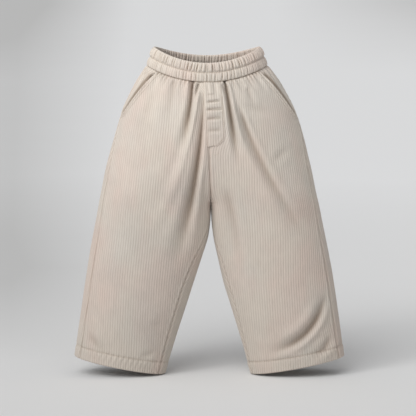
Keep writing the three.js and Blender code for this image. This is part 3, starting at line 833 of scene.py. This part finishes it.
# The slanting drag lines beside the inseam on each front, and the tucks along the side seams.
INSEAM_DRAG = {LEFT: 0.4, RIGHT: 0.6}
SIDE_TUCK = 0.22
# How much painted shade goes along the pocket's rows of stitches, where they sink the cloth.
STITCH_PAINTED_SHADE = 0.22


def row_heights(count):
    """The heights of a panel's rows of points, closest at the waist seam and the hem."""
    fine = np.linspace(WAIST_Z, HEM_Z, 2001)
    below, above = WAIST_Z - fine, fine - HEM_Z
    spacing = 3.8 - 1.8 * bell(below, 14) - 2.6 * bell(above, 4)
    spacing = spacing - 2.2 * bell(above - HEM_DEPTH, 3.5)
    measure = np.concatenate([[0], np.cumsum(1 / spacing[1:])])
    wanted = np.linspace(0, measure[-1], count + 1)
    return np.interp(wanted, measure, fine)


def puckered(turn, below):
    """The small gathers that run out of the waist seam, each of its own length."""
    reach = PUCKER_REACH * (1 + 0.5 * np.sin(9 * turn + 1))
    fine = PUCKER_DEPTH * bell(below, reach) * smooth_step(-1, 3, below)
    uneven = 1.4 * np.sin(5 * turn + 2)
    return fine * (0.6 + 0.4 * np.sin(11 * turn)) * np.cos(PUCKERS * turn + uneven)


def seam_relief(away):
    """A seam draws the edge of a panel in, and the cloth stands up beside it."""
    return -1.0 * bell(away, 1.4) + 0.7 * bell(away - 4.6, 2.4)


def pocket_seams(away):
    """How deep the two rows of stitches beside a pocket opening draw the cloth in, from 0 to 1."""
    first, second = POCKET_STITCHES
    return bell(away - first, 0.8) + 0.85 * bell(away - second, 0.8)


def pocket_relief(away, along):
    """A folded edge with two rows of stitches and the small puckers between them."""
    edge = 0.6 * bell(away - 1.4, 1.5) + 0.15 * bell(away - 6.6, 1.3)
    puckers = 0.3 * np.cos(2 * np.pi * along / 7.5 + 1.3 * np.sin(along / 17))
    return edge - 0.45 * pocket_seams(away) + puckers * bell(away - 6, 5)


def hem_relief(above, across, seed):
    """The turned-up hem: its stitched line, the puckers along it and its rolled lower edge."""
    stitched = -0.85 * bell(above - HEM_DEPTH, 1.4)
    puffed = 0.45 * bell(above - 14, 5) + 0.25 * bell(above - 26, 4)
    wave = np.cos(2 * np.pi * across / 8.5 + 1.6 * np.sin(across / 23 + seed) + 0.12 * above)
    swell = 0.6 + 0.4 * np.sin(across / 31 + 2 * seed)
    puckers = 0.4 * swell * wave * bell(above - 16, 9)
    rolled = -1.0 * (1 - np.sqrt(np.clip(above / 1.8, 0, 1)))
    return stitched + puffed + puckers + rolled


def waist_relief(below, turn):
    """The cloth is drawn in at the waist seam and puffs out under it."""
    pinch = -0.8 * bell(below, 1.5) + 0.45 * bell(below - 6, 4)
    return pinch + puckered(turn, below)


def place_of_panel(side, is_front, levels):
    """The angles of a panel's two edges, and of the pocket opening."""
    seam = side_turn(levels)
    gap = SEAM_GAP / 2 / arc_speed(side, levels, seam)
    start = inner_turn(side, 1 if is_front else -1, levels)
    opening = pocket_turn(side, levels)
    if is_front:
        return start, np.minimum(seam - gap, opening), opening
    return start, seam + gap - FULL_TURN, opening


def opened(side, levels, opening):
    """How much the pocket opening stands open at each level, dying away towards its two ends."""
    left_over = (side_turn(levels) - opening) * arc_speed(side, levels, opening)
    below = WAIST_Z - levels["z"]
    start = smooth_step(0, GAPE_START, below) * (1.5 - 0.9 * smooth_step(15, 75, below))
    return start * smooth_step(0, 12, left_over), smooth_step(0, 5, left_over)


def deepest_near(moved, rows, columns):
    """The lowest value within some rows and columns of each point of a grid."""
    lowest = moved.copy()
    for step in range(1, rows + 1):
        lowest[step:] = np.minimum(lowest[step:], moved[:-step])
        lowest[:-step] = np.minimum(lowest[:-step], moved[step:])
    across = lowest.copy()
    for step in range(1, columns + 1):
        across[:, step:] = np.minimum(across[:, step:], lowest[:, :-step])
        across[:, :-step] = np.minimum(across[:, :-step], lowest[:, step:])
    return across


def wale_shift(side, is_front, levels, points, across):
    """How far the cloth slips past each level's edge so that the ribs follow a straight line down."""
    z = levels["z"][:, 0]
    if is_front:
        line = np.interp(-z, STRAIGHT_FRONT_Z, STRAIGHT_FRONT[side])
    else:
        line = np.interp(-z, STRAIGHT_BACK_Z, STRAIGHT_BACK)
    away = side * (points[..., 0] - levels["middle"])
    shift = np.empty(len(z))
    for row in range(len(z)):
        seen = away[row] > 0
        if not is_front:
            seen = seen & (points[row, :, 1] > 0)
        columns = np.flatnonzero(seen)
        places = away[row, columns]
        rising = np.maximum.accumulate(places)
        shift[row] = -np.interp(line[row], rising, across[row, columns])
    shift = shift[:, None]
    if is_front:
        return shift
    below = np.maximum(0, -225 - levels["z"])
    return shift + 14 * (1 - np.exp(-below / 60)) * bell(across, 50)


def inseam_drag(side, across, z):
    """The slanting lines of strain beside the inseam of a front."""
    reach = bell(across, 11) * smooth_step(-285, -330, z)
    place = 2 * np.pi * (z - 0.9 * across) / 9.5 + 2.2 * np.sin(z / 19)
    return INSEAM_DRAG[side] * reach * np.cos(place)


def clear_of_fly(side, levels, points):
    """1 on a front panel, and 0 where the mock fly lies on it."""
    z = levels["z"]
    reach = fly_reach(z) if side == LEFT else np.maximum(-fly_edge(z), 0.5)
    x = side * (points[..., 0] - levels["middle"])
    return 1 - smooth_step(reach + 1, reach - 1, x) * smooth_step(FLY_BOTTOM - 3, FLY_BOTTOM, z)


def panel_relief(side, is_front, levels, turns, across, is_pocket):
    """How the seams, stitches, gathers and hem raise and sink a panel's surface."""
    z = levels["z"]
    below, above = WAIST_Z - z, z - HEM_Z
    from_outer = across[:, -1:] - across
    relief = waist_relief(below, turns) + seam_relief(across)
    tucks = np.cos(2 * np.pi * z / 5.6 + 1.8 * np.sin(z / 17))
    relief = relief + SIDE_TUCK * tucks * bell(from_outer - 3, 3.5) * smooth_step(4, 20, below)
    if is_front:
        along = np.repeat(-z / 0.8, turns.shape[1], axis=1)
        relief = relief + is_pocket * pocket_relief(from_outer, along)
        relief = relief + (1 - is_pocket) * seam_relief(from_outer)
        relief = relief + inseam_drag(side, across, z)
    else:
        relief = relief + seam_relief(from_outer)
    return relief + hem_relief(above, across, side + 0.5 * is_front)


def panel_painted_shade(is_front, levels, turns, across, is_pocket, painted_fold_shade):
    """How much painted shade each point of a panel gets, along the seams, in the gathers and in the folds,
    where shade falls.
    """
    below, above = WAIST_Z - levels["z"], levels["z"] - HEM_Z
    from_outer = across[:, -1:] - across
    painted_shade = 0.9 * bell(below, 1.4) + 0.34 * bell(across, 1.3)
    painted_shade = painted_shade + 0.42 * bell(from_outer, 1.4) - 0.55 * puckered(turns, below)
    stitched = STITCH_PAINTED_SHADE * is_pocket * pocket_seams(from_outer) if is_front else 0
    painted_shade = painted_shade + stitched + 0.28 * bell(above - HEM_DEPTH, 1.3)
    return painted_shade + (painted_fold_shade if is_front else BACK_FOLD_PAINTED_SHADE * painted_fold_shade)


def on_own_side(points, side, levels):
    """The same points, none of them past the centre seam."""
    away = np.maximum(side * (points[..., 0] - levels["middle"]), SEAM_GAP / 2)
    return np.concatenate([(levels["middle"] + side * away)[..., None], points[..., 1:]], axis=-1)


def make_panel(name, side, is_front):
    columns = FRONT_COLUMNS if is_front else BACK_COLUMNS
    levels = levels_at(row_heights(FRONT_ROWS if is_front else BACK_ROWS))
    start, end, opening = place_of_panel(side, is_front, levels)
    turns = panel_turns(side, 1 if is_front else -1, levels, start, end, columns)
    below = WAIST_Z - levels["z"]
    gape, is_pocket = opened(side, levels, opening)
    out = np.full(turns.shape, WALL / 2)
    if is_front:
        away = (opening - turns) * arc_speed(side, levels, opening)
        out = out + gape * POCKET_GAPE * bell(away, POCKET_REACH)
    base = cloth_points(side, levels, turns, out)
    outside = cloth_points(side, levels, turns, out + 1) - base
    normals = surface_normals(base)
    normals = normals * np.sign(np.sum(normals * outside))
    across, down = lengths_across(base), lengths_down(base)
    squeezed = 1 + 0.12 * (1 - smooth_step(0, 110, below))
    wales = squeezed * (across + wale_shift(side, is_front, levels, base, across)) / WALE
    uv = np.stack([wales, -down / WALE], axis=-1)
    moved, painted_fold_shade = folded(FOLDS["front" if is_front else "back"], base[..., 0], base[..., 2])
    relief = panel_relief(side, is_front, levels, turns, across, is_pocket)
    painted_shade = panel_painted_shade(is_front, levels, turns, across, is_pocket, painted_fold_shade)
    under_fly = clear_of_fly(side, levels, base) if is_front else 1.0
    relief = relief * under_fly - 0.3 * (1 - under_fly)
    aligned = bell(np.abs(np.gradient(wales, axis=0)), 0.22)
    relief = relief + RIB_HEIGHT * rib(wales) * smooth_step(0, 2, below) * under_fly * aligned
    outer = on_own_side(base + normals * relief[..., None], side, levels)
    lowest = deepest_near(moved, INNER_EVERY_ROWS + 1, INNER_EVERY_COLUMNS + 1)
    inner = on_own_side(base + outside * (lowest - moved - WALL)[..., None], side, levels)
    inner = inner[::INNER_EVERY_ROWS, ::INNER_EVERY_COLUMNS]
    inner_uv = uv[::INNER_EVERY_ROWS, ::INNER_EVERY_COLUMNS]
    piece = cloth_wall(name, outer, uv, painted_shade, inner, inner_uv, [CORDUROY, CLOTH_BACK])
    return {
        "piece": piece,
        "outer": outer,
        "normals": normals,
        "across": across,
        "heights": levels["z"][:, 0],
        "pocket": is_pocket[:, 0],
    }


# The cloth behind the pocket openings


def make_pocket_facing(name, side):
    heights = np.linspace(WAIST_Z, POCKET_BOTTOM, FACING_ROWS + 1)
    levels = levels_at(heights)
    seam = side_turn(levels)
    opening = pocket_turn(side, levels)
    speed = arc_speed(side, levels, opening)
    start = np.minimum(opening, seam) - POCKET_UNDERLAP / speed
    end = seam - SEAM_GAP / 2 / arc_speed(side, levels, seam)
    turns = even_turns(side, levels, start, end, FACING_COLUMNS)
    past = (turns - opening) * speed
    gape, _ = opened(side, levels, opening)
    dip = gape * POCKET_DIP * bell(np.maximum(past, 0), 4)
    rise = smooth_step(1.5, 10, past)
    out = (1 - rise) * (-WALL / 2 - 0.6 - dip) + rise * WALL / 2
    base = cloth_points(side, levels, turns, out)
    outside = cloth_points(side, levels, turns, out + 1) - base
    normals = surface_normals(base)
    normals = normals * np.sign(np.sum(normals * outside))
    across = lengths_across(base)
    from_outer = across[:, -1:] - across
    wales = -from_outer / WALE
    open_air = smooth_step(-1, 2, past)
    below = WAIST_Z - levels["z"]
    relief = RIB_HEIGHT * rib(wales) + seam_relief(from_outer) + waist_relief(below, turns)
    outer = base + normals * (relief * open_air)[..., None]
    inner = (base - normals * FACING_THICKNESS)[::INNER_EVERY_ROWS, ::INNER_EVERY_COLUMNS]
    uv = np.stack([wales, -lengths_down(base) / WALE], axis=-1)
    inner_uv = uv[::INNER_EVERY_ROWS, ::INNER_EVERY_COLUMNS]
    # Painted shade on the facing where the pocket opening gapes, in place of the shadow in the gap.
    painted_shade = 1.7 * gape * smooth_step(15, 3, past) * smooth_step(0, 6, below)
    return cloth_wall(name, outer, uv, painted_shade, inner, inner_uv, [CORDUROY, CLOTH_BACK])


# The hems, turned up inside the legs


def make_hem(name, side):
    heights = np.linspace(HEM_Z + HEM_DEPTH, HEM_Z + 0.3, HEM_ROWS + 1)
    levels = levels_at(heights)
    turns = np.linspace(0, FULL_TURN, HEM_COLUMNS, endpoint=False)[None, :]
    turns = (np.repeat(turns, HEM_ROWS + 1, axis=0) + math.pi) % FULL_TURN - math.pi
    share = (levels["z"] - HEM_Z) / HEM_DEPTH
    out = -WALL / 2 - 0.45 - 0.2 * share
    wide = cloth_points(side, levels, turns, out + 0 * turns)
    steps = np.linalg.norm(np.roll(wide, -1, axis=1) - wide, axis=-1)
    across = np.cumsum(steps, axis=1)
    wales = across / across[:, -1:] * np.round(across[HEM_ROWS // 2, -1] / WALE)
    thick = 1.3 * np.sqrt(np.clip(1.05 - share, 0, 1)) + 0.1
    ribs = 0.25 * rib(wales) * np.sin(np.pi * share)
    face = cloth_points(side, levels, turns, out - thick + ribs)
    uv = np.stack([wales, np.repeat(heights[:, None] / WALE, HEM_COLUMNS, axis=1)], axis=-1)
    back = wide[::INNER_EVERY_ROWS, ::INNER_EVERY_COLUMNS]
    back_uv = uv[::INNER_EVERY_ROWS, ::INNER_EVERY_COLUMNS]
    # Painted shade on the turned-up hem inside the leg, darker further up.
    painted_shade = 0.5 * share + 0 * turns
    return cloth_wall(name, face, uv, painted_shade, back, back_uv, [CORDUROY, CLOTH_BACK], ringed=True)


# The mock fly


def fly_reach(heights):
    """How far the fly reaches onto the wearer's left, with its lower corner rounded off."""
    share = np.clip((heights - WAIST_Z) / (FLY_CORNER - WAIST_Z), 0, 1)
    rounding = np.clip((heights - FLY_CORNER) / (FLY_BOTTOM - FLY_CORNER), 0, 1)
    wide = FLY_RIGHT + (FLY_RIGHT_FOOT - FLY_RIGHT) * share
    return wide * (1 - 0.8 * (1 - np.sqrt(1 - rounding**2)))


def fly_edge(heights):
    """Where the fly's folded edge lies, a little past the centre seam."""
    return FLY_LEFT + (FLY_LEFT_FOOT - FLY_LEFT) * (heights - WAIST_Z) / (FLY_BOTTOM - WAIST_Z)


def front_points(levels, x, out):
    """Points of the two front panels at distances from the centre seam."""
    places = {}
    for side in (LEFT, RIGHT):
        wanted = np.where(side * x > SEAM_GAP / 2, side * x, SEAM_GAP / 2 + 0.01)

        def beyond(turn):
            points = cloth_points(side, levels, turn, out)
            return side * (points[..., 0] - levels["middle"]) - wanted

        turn = crossing(beyond, np.zeros_like(wanted), np.full_like(wanted, math.radians(85) + 0.3))
        places[side] = cloth_points(side, levels, turn, out)
    return np.where((x < 0)[..., None], places[RIGHT], places[LEFT])


def make_fly(name):
    heights = np.linspace(WAIST_Z - 0.2, FLY_BOTTOM, FLY_ROWS + 1)
    levels = levels_at(heights)
    share = np.linspace(0, 1, FLY_COLUMNS + 1)[None, :]
    left = fly_edge(heights)[:, None]
    x = left + (fly_reach(heights)[:, None] - left) * share
    base = front_points(levels, x, WALL / 2 + 0.0 * x)
    normals = surface_normals(base)
    normals = normals * np.sign(-normals[..., 1].sum())
    across, down = lengths_across(base), lengths_down(base)
    wales = (x - left) / WALE
    raised = FLY_RAISED + FLY_EDGE_RAISED * (1 - smooth_step(0.1, 0.8, share))
    below = WAIST_Z - levels["z"]
    relief = raised - 0.8 * bell(across, 0.9) + 0.25 * waist_relief(below, math.pi / 2 + x / 90)
    # Painted shade under the waistband, in the crosswise creases and along the stitches.
    painted_shade = 0.8 * bell(below, 1.8) + 0 * x
    for height, depth, width, slant, first, last in FLY_CREASES:
        away = (levels["z"] - height - slant * x) / width
        crease = -bell(away, 1) + 0.45 * bell(np.abs(away) - 2, 1)
        reach = smooth_step(first - 0.08, first + 0.2, share) * smooth_step(last + 0.05, last - 0.25, share)
        relief = relief + depth * crease * reach
        painted_shade = painted_shade + 0.4 * depth * reach * bell(away, 0.6)
    stitched = bell(across[:, -1:] - across - FLY_STITCH_INSETS[0], 1.1)
    relief = relief + 0.3 * rib(wales) - 0.5 * stitched
    painted_shade = painted_shade + 0.35 * stitched
    outer = base + normals * relief[..., None]
    inner = (base + normals * 0.1)[::INNER_EVERY_ROWS, ::INNER_EVERY_COLUMNS]
    uv = np.stack([wales + 0 * relief, -down / WALE], axis=-1)
    inner_uv = uv[::INNER_EVERY_ROWS, ::INNER_EVERY_COLUMNS]
    piece = cloth_wall(name, outer, uv, painted_shade, inner, inner_uv, [CORDUROY, CLOTH_BACK])
    return {"piece": piece, "outer": outer, "normals": normals, "heights": heights, "x": x}


# The waistband

BAND_COLUMNS = 720


def ruffles(turn, up, count, seed, width):
    """The gathers that one row of elastic leaves: narrow troughs between rounded ridges."""
    slant = 0.02 * up * np.sin(3 * turn + seed) + 0.012 * up * np.sin(11 * turn + 2 * seed)
    place = turn / FULL_TURN * count + slant
    whole = np.floor(place)
    total = np.zeros_like(place + up)
    for step in (-1, 0, 1, 2):
        number = np.mod(whole + step, count)
        centre = whole + step + 0.5 * (scatter(number, seed) - 0.5)
        depth = 0.35 + 0.85 * scatter(number, seed + 3)
        total = total + depth * bell(place - centre, width)
    return 0.5 - total


def band_points(turn, up, out):
    share = up / BAND_HEIGHT
    is_front = np.sin(turn) > 0
    half = WAIST_OUTER + (RIM_OUTER - WAIST_OUTER) * share
    front = WAIST_FRONT + (RIM_FRONT - WAIST_FRONT) * share
    back = WAIST_BACK + (RIM_BACK - WAIST_BACK) * share
    depth = np.where(is_front, front, back)
    x = -half * np.cos(turn)
    y = -depth * np.sin(turn)
    drop = np.where(is_front, 1, BACK_SADDLE) * np.sin(turn) ** 2
    z = WAIST_Z + up + WAIST_SADDLE * (np.cos(turn) ** 2 - drop)
    normal = np.stack([x / half**2, y / depth**2], axis=-1)
    normal = normal / np.linalg.norm(normal, axis=-1, keepdims=True)
    moved = normal * np.asarray(out)[..., None]
    return np.stack([BAND_MIDDLE + x + moved[..., 0], y + moved[..., 1], z + 0 * x], axis=-1)


def make_waistband(name):
    profile = np.array(BAND_PROFILE)
    lengths = np.concatenate([[0], np.cumsum(np.linalg.norm(np.diff(profile[:, :2], axis=0), axis=1))])
    wanted = np.linspace(0, lengths[-1], 60)
    up, out, lower, upper = (np.interp(wanted, lengths, profile[:, k])[:, None] for k in range(4))
    turn = np.linspace(0, FULL_TURN, BAND_COLUMNS, endpoint=False)[None, :]
    upper_ruffles = ruffles(turn, up - 23, RUFFLES_UPPER, 1, 0.22)
    lower_ruffles = ruffles(turn, up - 8, RUFFLES_LOWER, 5, 0.2)
    outside = np.where(wanted[:, None] < lengths[11], 1, -1)
    moved = RUFFLE_DEPTH_UPPER * upper * upper_ruffles + RUFFLE_DEPTH_LOWER * lower * lower_ruffles
    back_seam = bell((turn - 1.5 * math.pi) * 60, 1.1)
    ring_wales = turn / FULL_TURN * BAND_WALES
    ribs = 0.16 * rib(ring_wales) * (0.35 + lower)
    relief = outside * (moved + ribs - back_seam)
    points = band_points(turn, up + 0.15 * upper * upper_ruffles, out + relief)
    faces = []
    rows = len(wanted)
    uvs = np.stack([ring_wales + 0 * up, np.repeat(wanted[:, None] / WALE, BAND_COLUMNS, axis=1)], axis=-1)
    for row in range(rows):
        below = (row + 1) % rows
        for column in range(BAND_COLUMNS):
            beside = (column + 1) % BAND_COLUMNS
            faces.append(
                (
                    row * BAND_COLUMNS + column,
                    row * BAND_COLUMNS + beside,
                    below * BAND_COLUMNS + beside,
                    below * BAND_COLUMNS + column,
                )
            )
    # Painted shade in the troughs of the ruffles, along the stitches and at the waist seam, much less on
    # the inside.
    trough = np.clip(-0.8 * upper_ruffles, 0, 1) * upper + np.clip(-0.7 * lower_ruffles, 0, 1) * lower
    trough = np.where(outside > 0, 1.5 * trough, 0.15 * trough)
    painted_shade = trough + 0.5 * bell(up - BAND_STITCHED_AT, 0.8) + 0.6 * bell(up - 0.3, 0.8)
    painted_shade = np.clip(painted_shade, 0, 1)
    piece = mesh_piece(name, points.reshape(-1, 3), faces, uvs.reshape(-1, 2), painted_shade, [], [CORDUROY])
    stitched = int(np.argmin(np.abs(up[: rows // 2, 0] - BAND_STITCHED_AT)))
    return {"piece": piece, "outer": points, "stitched": stitched}


# The stitching


def even_places(line, pitch):
    """Places along a line of points at even steps, as fractions of its indices."""
    steps = np.linalg.norm(np.diff(line, axis=0), axis=1)
    lengths = np.concatenate([[0], np.cumsum(steps)])
    count = max(2, int(round(lengths[-1] / pitch)))
    wanted = (np.arange(count) + 0.5) / count * lengths[-1]
    return np.interp(wanted, lengths, np.arange(len(line)))


def on_line(line, places):
    low = np.clip(places.astype(int), 0, len(line) - 2)
    share = (places - low)[:, None]
    return line[low] * (1 - share) + line[low + 1] * share


def make_stitches(name, lines, length=2.5, pitch=3.5, width=0.62, proud=0.42, sunk=0.05):
    """Rows of stitches, each a short thread that dips into the cloth at both ends."""
    around, rings = 6, (-0.75, 0.0, 0.75)
    corners, faces = [(-1.0, 0.0, 0.0)], []
    for at in rings:
        size = math.sqrt(1 - at * at)
        for k in range(around):
            angle = FULL_TURN * k / around
            corners.append((at, size * math.cos(angle), size * math.sin(angle)))
    corners.append((1.0, 0.0, 0.0))
    last = len(corners) - 1
    for k in range(around):
        beside = (k + 1) % around
        faces.append((0, 1 + beside, 1 + k))
        for ring in range(len(rings) - 1):
            a, b = 1 + ring * around + k, 1 + ring * around + beside
            faces.append((a, b, b + around, a + around))
        faces.append((last, last - around + k, last - around + beside))
    template = np.array(corners)
    positions, all_faces = [], []
    for line, normals in lines:
        places = even_places(line, pitch)
        centre = on_line(line, places)
        before = on_line(line, np.maximum(places - 0.4, 0))
        after = on_line(line, np.minimum(places + 0.4, len(line) - 1.001))
        tangent = after - before
        tangent = tangent / np.linalg.norm(tangent, axis=1, keepdims=True)
        up = on_line(normals, places)
        up = up - tangent * np.sum(up * tangent, axis=1, keepdims=True)
        up = up / np.linalg.norm(up, axis=1, keepdims=True)
        beside = np.cross(tangent, up)
        for k in range(len(centre)):
            along = template[:, :1] * length / 2
            high = sunk + template[:, 1:2] * proud - 0.25 * template[:, :1] ** 2
            over = template[:, 2:3] * width / 2
            start = sum(len(part) for part in positions)
            positions.append(centre[k] + tangent[k] * along + up[k] * high + beside[k] * over)
            all_faces.extend(tuple(start + index for index in face) for face in faces)
    positions = np.concatenate(positions)
    nothing = np.zeros((len(positions), 2))
    return mesh_piece(name, positions, all_faces, nothing, nothing[:, 0], [], [THREAD])


def pocket_rows(panel):
    """The two lines of stitches along a pocket opening."""
    rows = np.flatnonzero(panel["pocket"] > 0.3)
    lines = []
    numbers = np.arange(panel["across"].shape[1])
    for inside in POCKET_STITCHES:
        places = [np.interp(across[-1] - inside, across, numbers) for across in panel["across"][rows]]
        columns = np.array(places)
        points = grid_at(panel["outer"], rows + 0.0, columns)
        lines.append((points, grid_at(panel["normals"], rows + 0.0, columns)))
    return lines


def hem_row(panel):
    row = np.interp(-(HEM_Z + HEM_DEPTH), -panel["heights"], np.arange(len(panel["heights"])))
    columns = np.arange(3.0, panel["outer"].shape[1] - 3.0, 1.0)
    rows = np.full(columns.shape, row)
    return grid_at(panel["outer"], rows, columns), grid_at(panel["normals"], rows, columns)


def on_fly(fly, x, z):
    """Points and normals of the fly's surface at places seen from the front."""
    rows = np.interp(-z, -fly["heights"], np.arange(len(fly["heights"])))
    edges = fly["x"][np.round(rows).astype(int)]
    columns = np.array([np.interp(place, edge, np.arange(len(edge))) for place, edge in zip(x, edges)])
    return grid_at(fly["outer"], rows, columns), grid_at(fly["normals"], rows, columns)


def fly_rows(fly):
    """The line of stitches down the mock fly and round its corner, and a second one inside the corner."""
    lines = []
    for inset, first_turn in zip(FLY_STITCH_INSETS, (0, 35)):
        turn = np.radians(np.linspace(first_turn, 84, 30))
        x = (FLY_RIGHT_FOOT - inset) * np.cos(turn)
        z = FLY_CORNER + (FLY_BOTTOM - FLY_CORNER + inset) * np.sin(turn)
        if first_turn == 0:
            down = np.linspace(WAIST_Z - 3, FLY_CORNER, 60, endpoint=False)
            x = np.concatenate([fly_reach(down) - inset, x])
            z = np.concatenate([down, z])
        lines.append(on_fly(fly, x, z))
    return lines


def tack_row():
    """The short slanting line of stitches under the mock fly."""
    x = np.linspace(0.5, TACK_LENGTH, 18)
    levels = levels_at(TACK_Z + TACK_SLANT * x)
    points = front_points(levels, x[:, None], WALL / 2 + 0.35 + 0 * x[:, None])[:, 0]
    return points, np.repeat(np.array([[0.0, -1.0, 0.0]]), len(x), axis=0)


# Camera, light and floor


def make_camera():
    camera = bpy.data.objects.new("Camera", bpy.data.cameras.new("Camera"))
    camera.data.lens = 200
    camera.data.sensor_width = 36
    away = Vector((0, -math.cos(CAMERA_TURNED_DOWN), math.sin(CAMERA_TURNED_DOWN)))
    camera.location = CAMERA_LOOKS_AT + away * CAMERA_DISTANCE
    camera.rotation_euler = (-away).to_track_quat("-Z", "Y").to_euler()
    bpy.context.collection.objects.link(camera)
    bpy.context.scene.camera = camera


def make_front_light(name, towards, strength):
    """A wide soft light that falls evenly on the trousers and on the floor far behind them."""
    light = bpy.data.lights.new(name, "SUN")
    light.energy = strength
    light.angle = math.radians(48)
    light.color = (1.0, 0.995, 0.985)
    lamp = bpy.data.objects.new(name, light)
    lamp.location = towards
    lamp.rotation_euler = Vector(towards).to_track_quat("Z", "Y").to_euler()
    bpy.context.collection.objects.link(lamp)


def make_key_light(name, place, aim, power):
    """The main light, which is brightest on the waist and thighs and fades towards the hems."""
    light = bpy.data.lights.new(name, "SPOT")
    light.energy = power
    light.spot_size = math.radians(36)
    light.spot_blend = 1.0
    light.shadow_soft_size = 0.42
    light.color = (1.0, 0.99, 0.975)
    lamp = bpy.data.objects.new(name, light)
    lamp.location = place
    lamp.rotation_euler = (Vector(aim) - Vector(place)).to_track_quat("-Z", "Y").to_euler()
    bpy.context.collection.objects.link(lamp)


def make_floor():
    """A very large pale floor, which is also all that shows behind the trousers.

    It has painted shade: it is a little darker on the left, in the far corners and close to the trousers."""
    bpy.ops.object.select_all(action="DESELECT")
    bpy.ops.mesh.primitive_plane_add(size=120, location=(0, 0, 0))
    floor = bpy.context.active_object
    floor.name = "Floor"
    for vertex in floor.data.vertices:
        vertex.co.z = FLOOR_Z
    material = bpy.data.materials.new("Pale paper floor")
    material.use_nodes = True
    tree = material.node_tree
    shader = tree.nodes["Principled BSDF"]
    shader.inputs["Roughness"].default_value = 0.85
    shader.inputs["Specular IOR Level"].default_value = 0.2
    coords = tree.nodes.new("ShaderNodeTexCoord")
    grain = noise(tree, coords.outputs["Object"], 3.0, 4.0)
    away = tree.nodes.new("ShaderNodeVectorMath")
    away.operation = "LENGTH"
    tree.links.new(coords.outputs["Object"], away.inputs[0])
    parts = tree.nodes.new("ShaderNodeSeparateXYZ")
    tree.links.new(coords.outputs["Object"], parts.inputs[0])
    behind = calculated(tree, "MULTIPLY_ADD", parts.outputs[1], 1.0, FLOOR_REACH)
    behind = calculated(tree, "MAXIMUM", behind, 0.5)
    sideways = calculated(tree, "DIVIDE", parts.outputs[0], behind)
    # Painted shade on the left side of the floor.
    painted_side_shade = calculated(tree, "MULTIPLY_ADD", sideways, -22.0, -0.75)
    painted_side_shade.node.use_clamp = True
    back_part = calculated(tree, "MULTIPLY_ADD", parts.outputs[1], 1.0, -0.1)
    back_part.node.use_clamp = True
    painted_side_shade = calculated(tree, "MULTIPLY", painted_side_shade, back_part)
    # Painted shade in the far corners.
    corner = calculated(tree, "MULTIPLY_ADD", calculated(tree, "ABSOLUTE", sideways), 14.0, -0.35)
    corner.node.use_clamp = True
    farthest = calculated(tree, "MULTIPLY_ADD", behind, 0.16, -1.65)
    farthest.node.use_clamp = True
    # Painted shade close to the trousers, lighter far off.
    far = calculated(tree, "MULTIPLY_ADD", away.outputs["Value"], 0.25, 0.3)
    far.node.use_clamp = True
    far = calculated(tree, "MULTIPLY_ADD", painted_side_shade, -0.75, far)
    far = calculated(tree, "MULTIPLY_ADD", calculated(tree, "MULTIPLY", corner, farthest), -0.8, far)
    far = calculated(tree, "MULTIPLY_ADD", grain, 0.05, far)
    far.node.use_clamp = True
    # The floor's colour mixes from its painted shade to its own pale colour.
    colour = mixed_colour(tree, far, FLOOR_PAINTED_SHADE, FLOOR_LIGHT)
    tree.links.new(colour, shader.inputs["Base Color"])
    floor.data.materials.append(material)


def make_studio():
    """Soft light from all round, strongest from above on the left."""
    world = bpy.data.worlds.new("Studio")
    bpy.context.scene.world = world
    world.use_nodes = True
    tree = world.node_tree
    coords = tree.nodes.new("ShaderNodeTexCoord")
    towards = tree.nodes.new("ShaderNodeVectorMath")
    towards.operation = "DOT_PRODUCT"
    towards.inputs[1].default_value = (-0.5, -0.5, 0.7)
    tree.links.new(coords.outputs["Generated"], towards.inputs[0])
    lit = calculated(tree, "MAXIMUM", towards.outputs["Value"], 0.0)
    lit = calculated(tree, "MULTIPLY", lit, lit)
    strength = calculated(tree, "MULTIPLY_ADD", lit, 0.45, 0.33)
    tree.nodes["Background"].inputs["Color"].default_value = (0.985, 0.99, 1.0, 1)
    tree.links.new(strength, tree.nodes["Background"].inputs["Strength"])


make_camera()
make_floor()
make_key_light("Key", (-1.6, -1.5, 1.25), (0.06, -0.05, 0.06), 65)
make_front_light("Front", (-0.42, -0.66, 0.8), 1.25)
make_studio()
bpy.context.scene.view_settings.view_transform = "Standard"

# Putting the trousers together

front_left = make_panel("Front_left", LEFT, True)
front_right = make_panel("Front_right", RIGHT, True)
back_left = make_panel("Back_left", LEFT, False)
back_right = make_panel("Back_right", RIGHT, False)
facing_left = make_pocket_facing("Pocket_facing_left", LEFT)
facing_right = make_pocket_facing("Pocket_facing_right", RIGHT)
hem_left = make_hem("Hem_left", LEFT)
hem_right = make_hem("Hem_right", RIGHT)
band = make_waistband("Waistband")
fly = make_fly("Mock_fly")

band_row = band["outer"][band["stitched"]]
band_row = np.concatenate([band_row, band_row[:1]])
band_out = band_row - np.array([BAND_MIDDLE, 0, 0])
band_out[:, 2] = 0
band_out[:, 1] *= 2
stitches = {
    "waistband": make_stitches("Waistband_stitches", [(band_row, band_out)], pitch=3.6),
    "pocket_left": make_stitches("Pocket_left_stitches", pocket_rows(front_left)),
    "pocket_right": make_stitches("Pocket_right_stitches", pocket_rows(front_right)),
    "fly": make_stitches("Fly_stitches", fly_rows(fly) + [tack_row()]),
    "hem_left": make_stitches("Hem_left_stitches", [hem_row(front_left), hem_row(back_left)]),
    "hem_right": make_stitches("Hem_right_stitches", [hem_row(front_right), hem_row(back_right)]),
}

pieces = {
    "front_left": front_left["piece"],
    "front_right": front_right["piece"],
    "back_left": back_left["piece"],
    "back_right": back_right["piece"],
    "pocket_facing_left": facing_left,
    "pocket_facing_right": facing_right,
    "hem_left": hem_left,
    "hem_right": hem_right,
    "waistband": band["piece"],
    "mock_fly": fly["piece"],
}
for node, piece in pieces.items():
    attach(piece, "root")
    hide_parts(node)
for piece in stitches.values():
    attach(piece, "root")
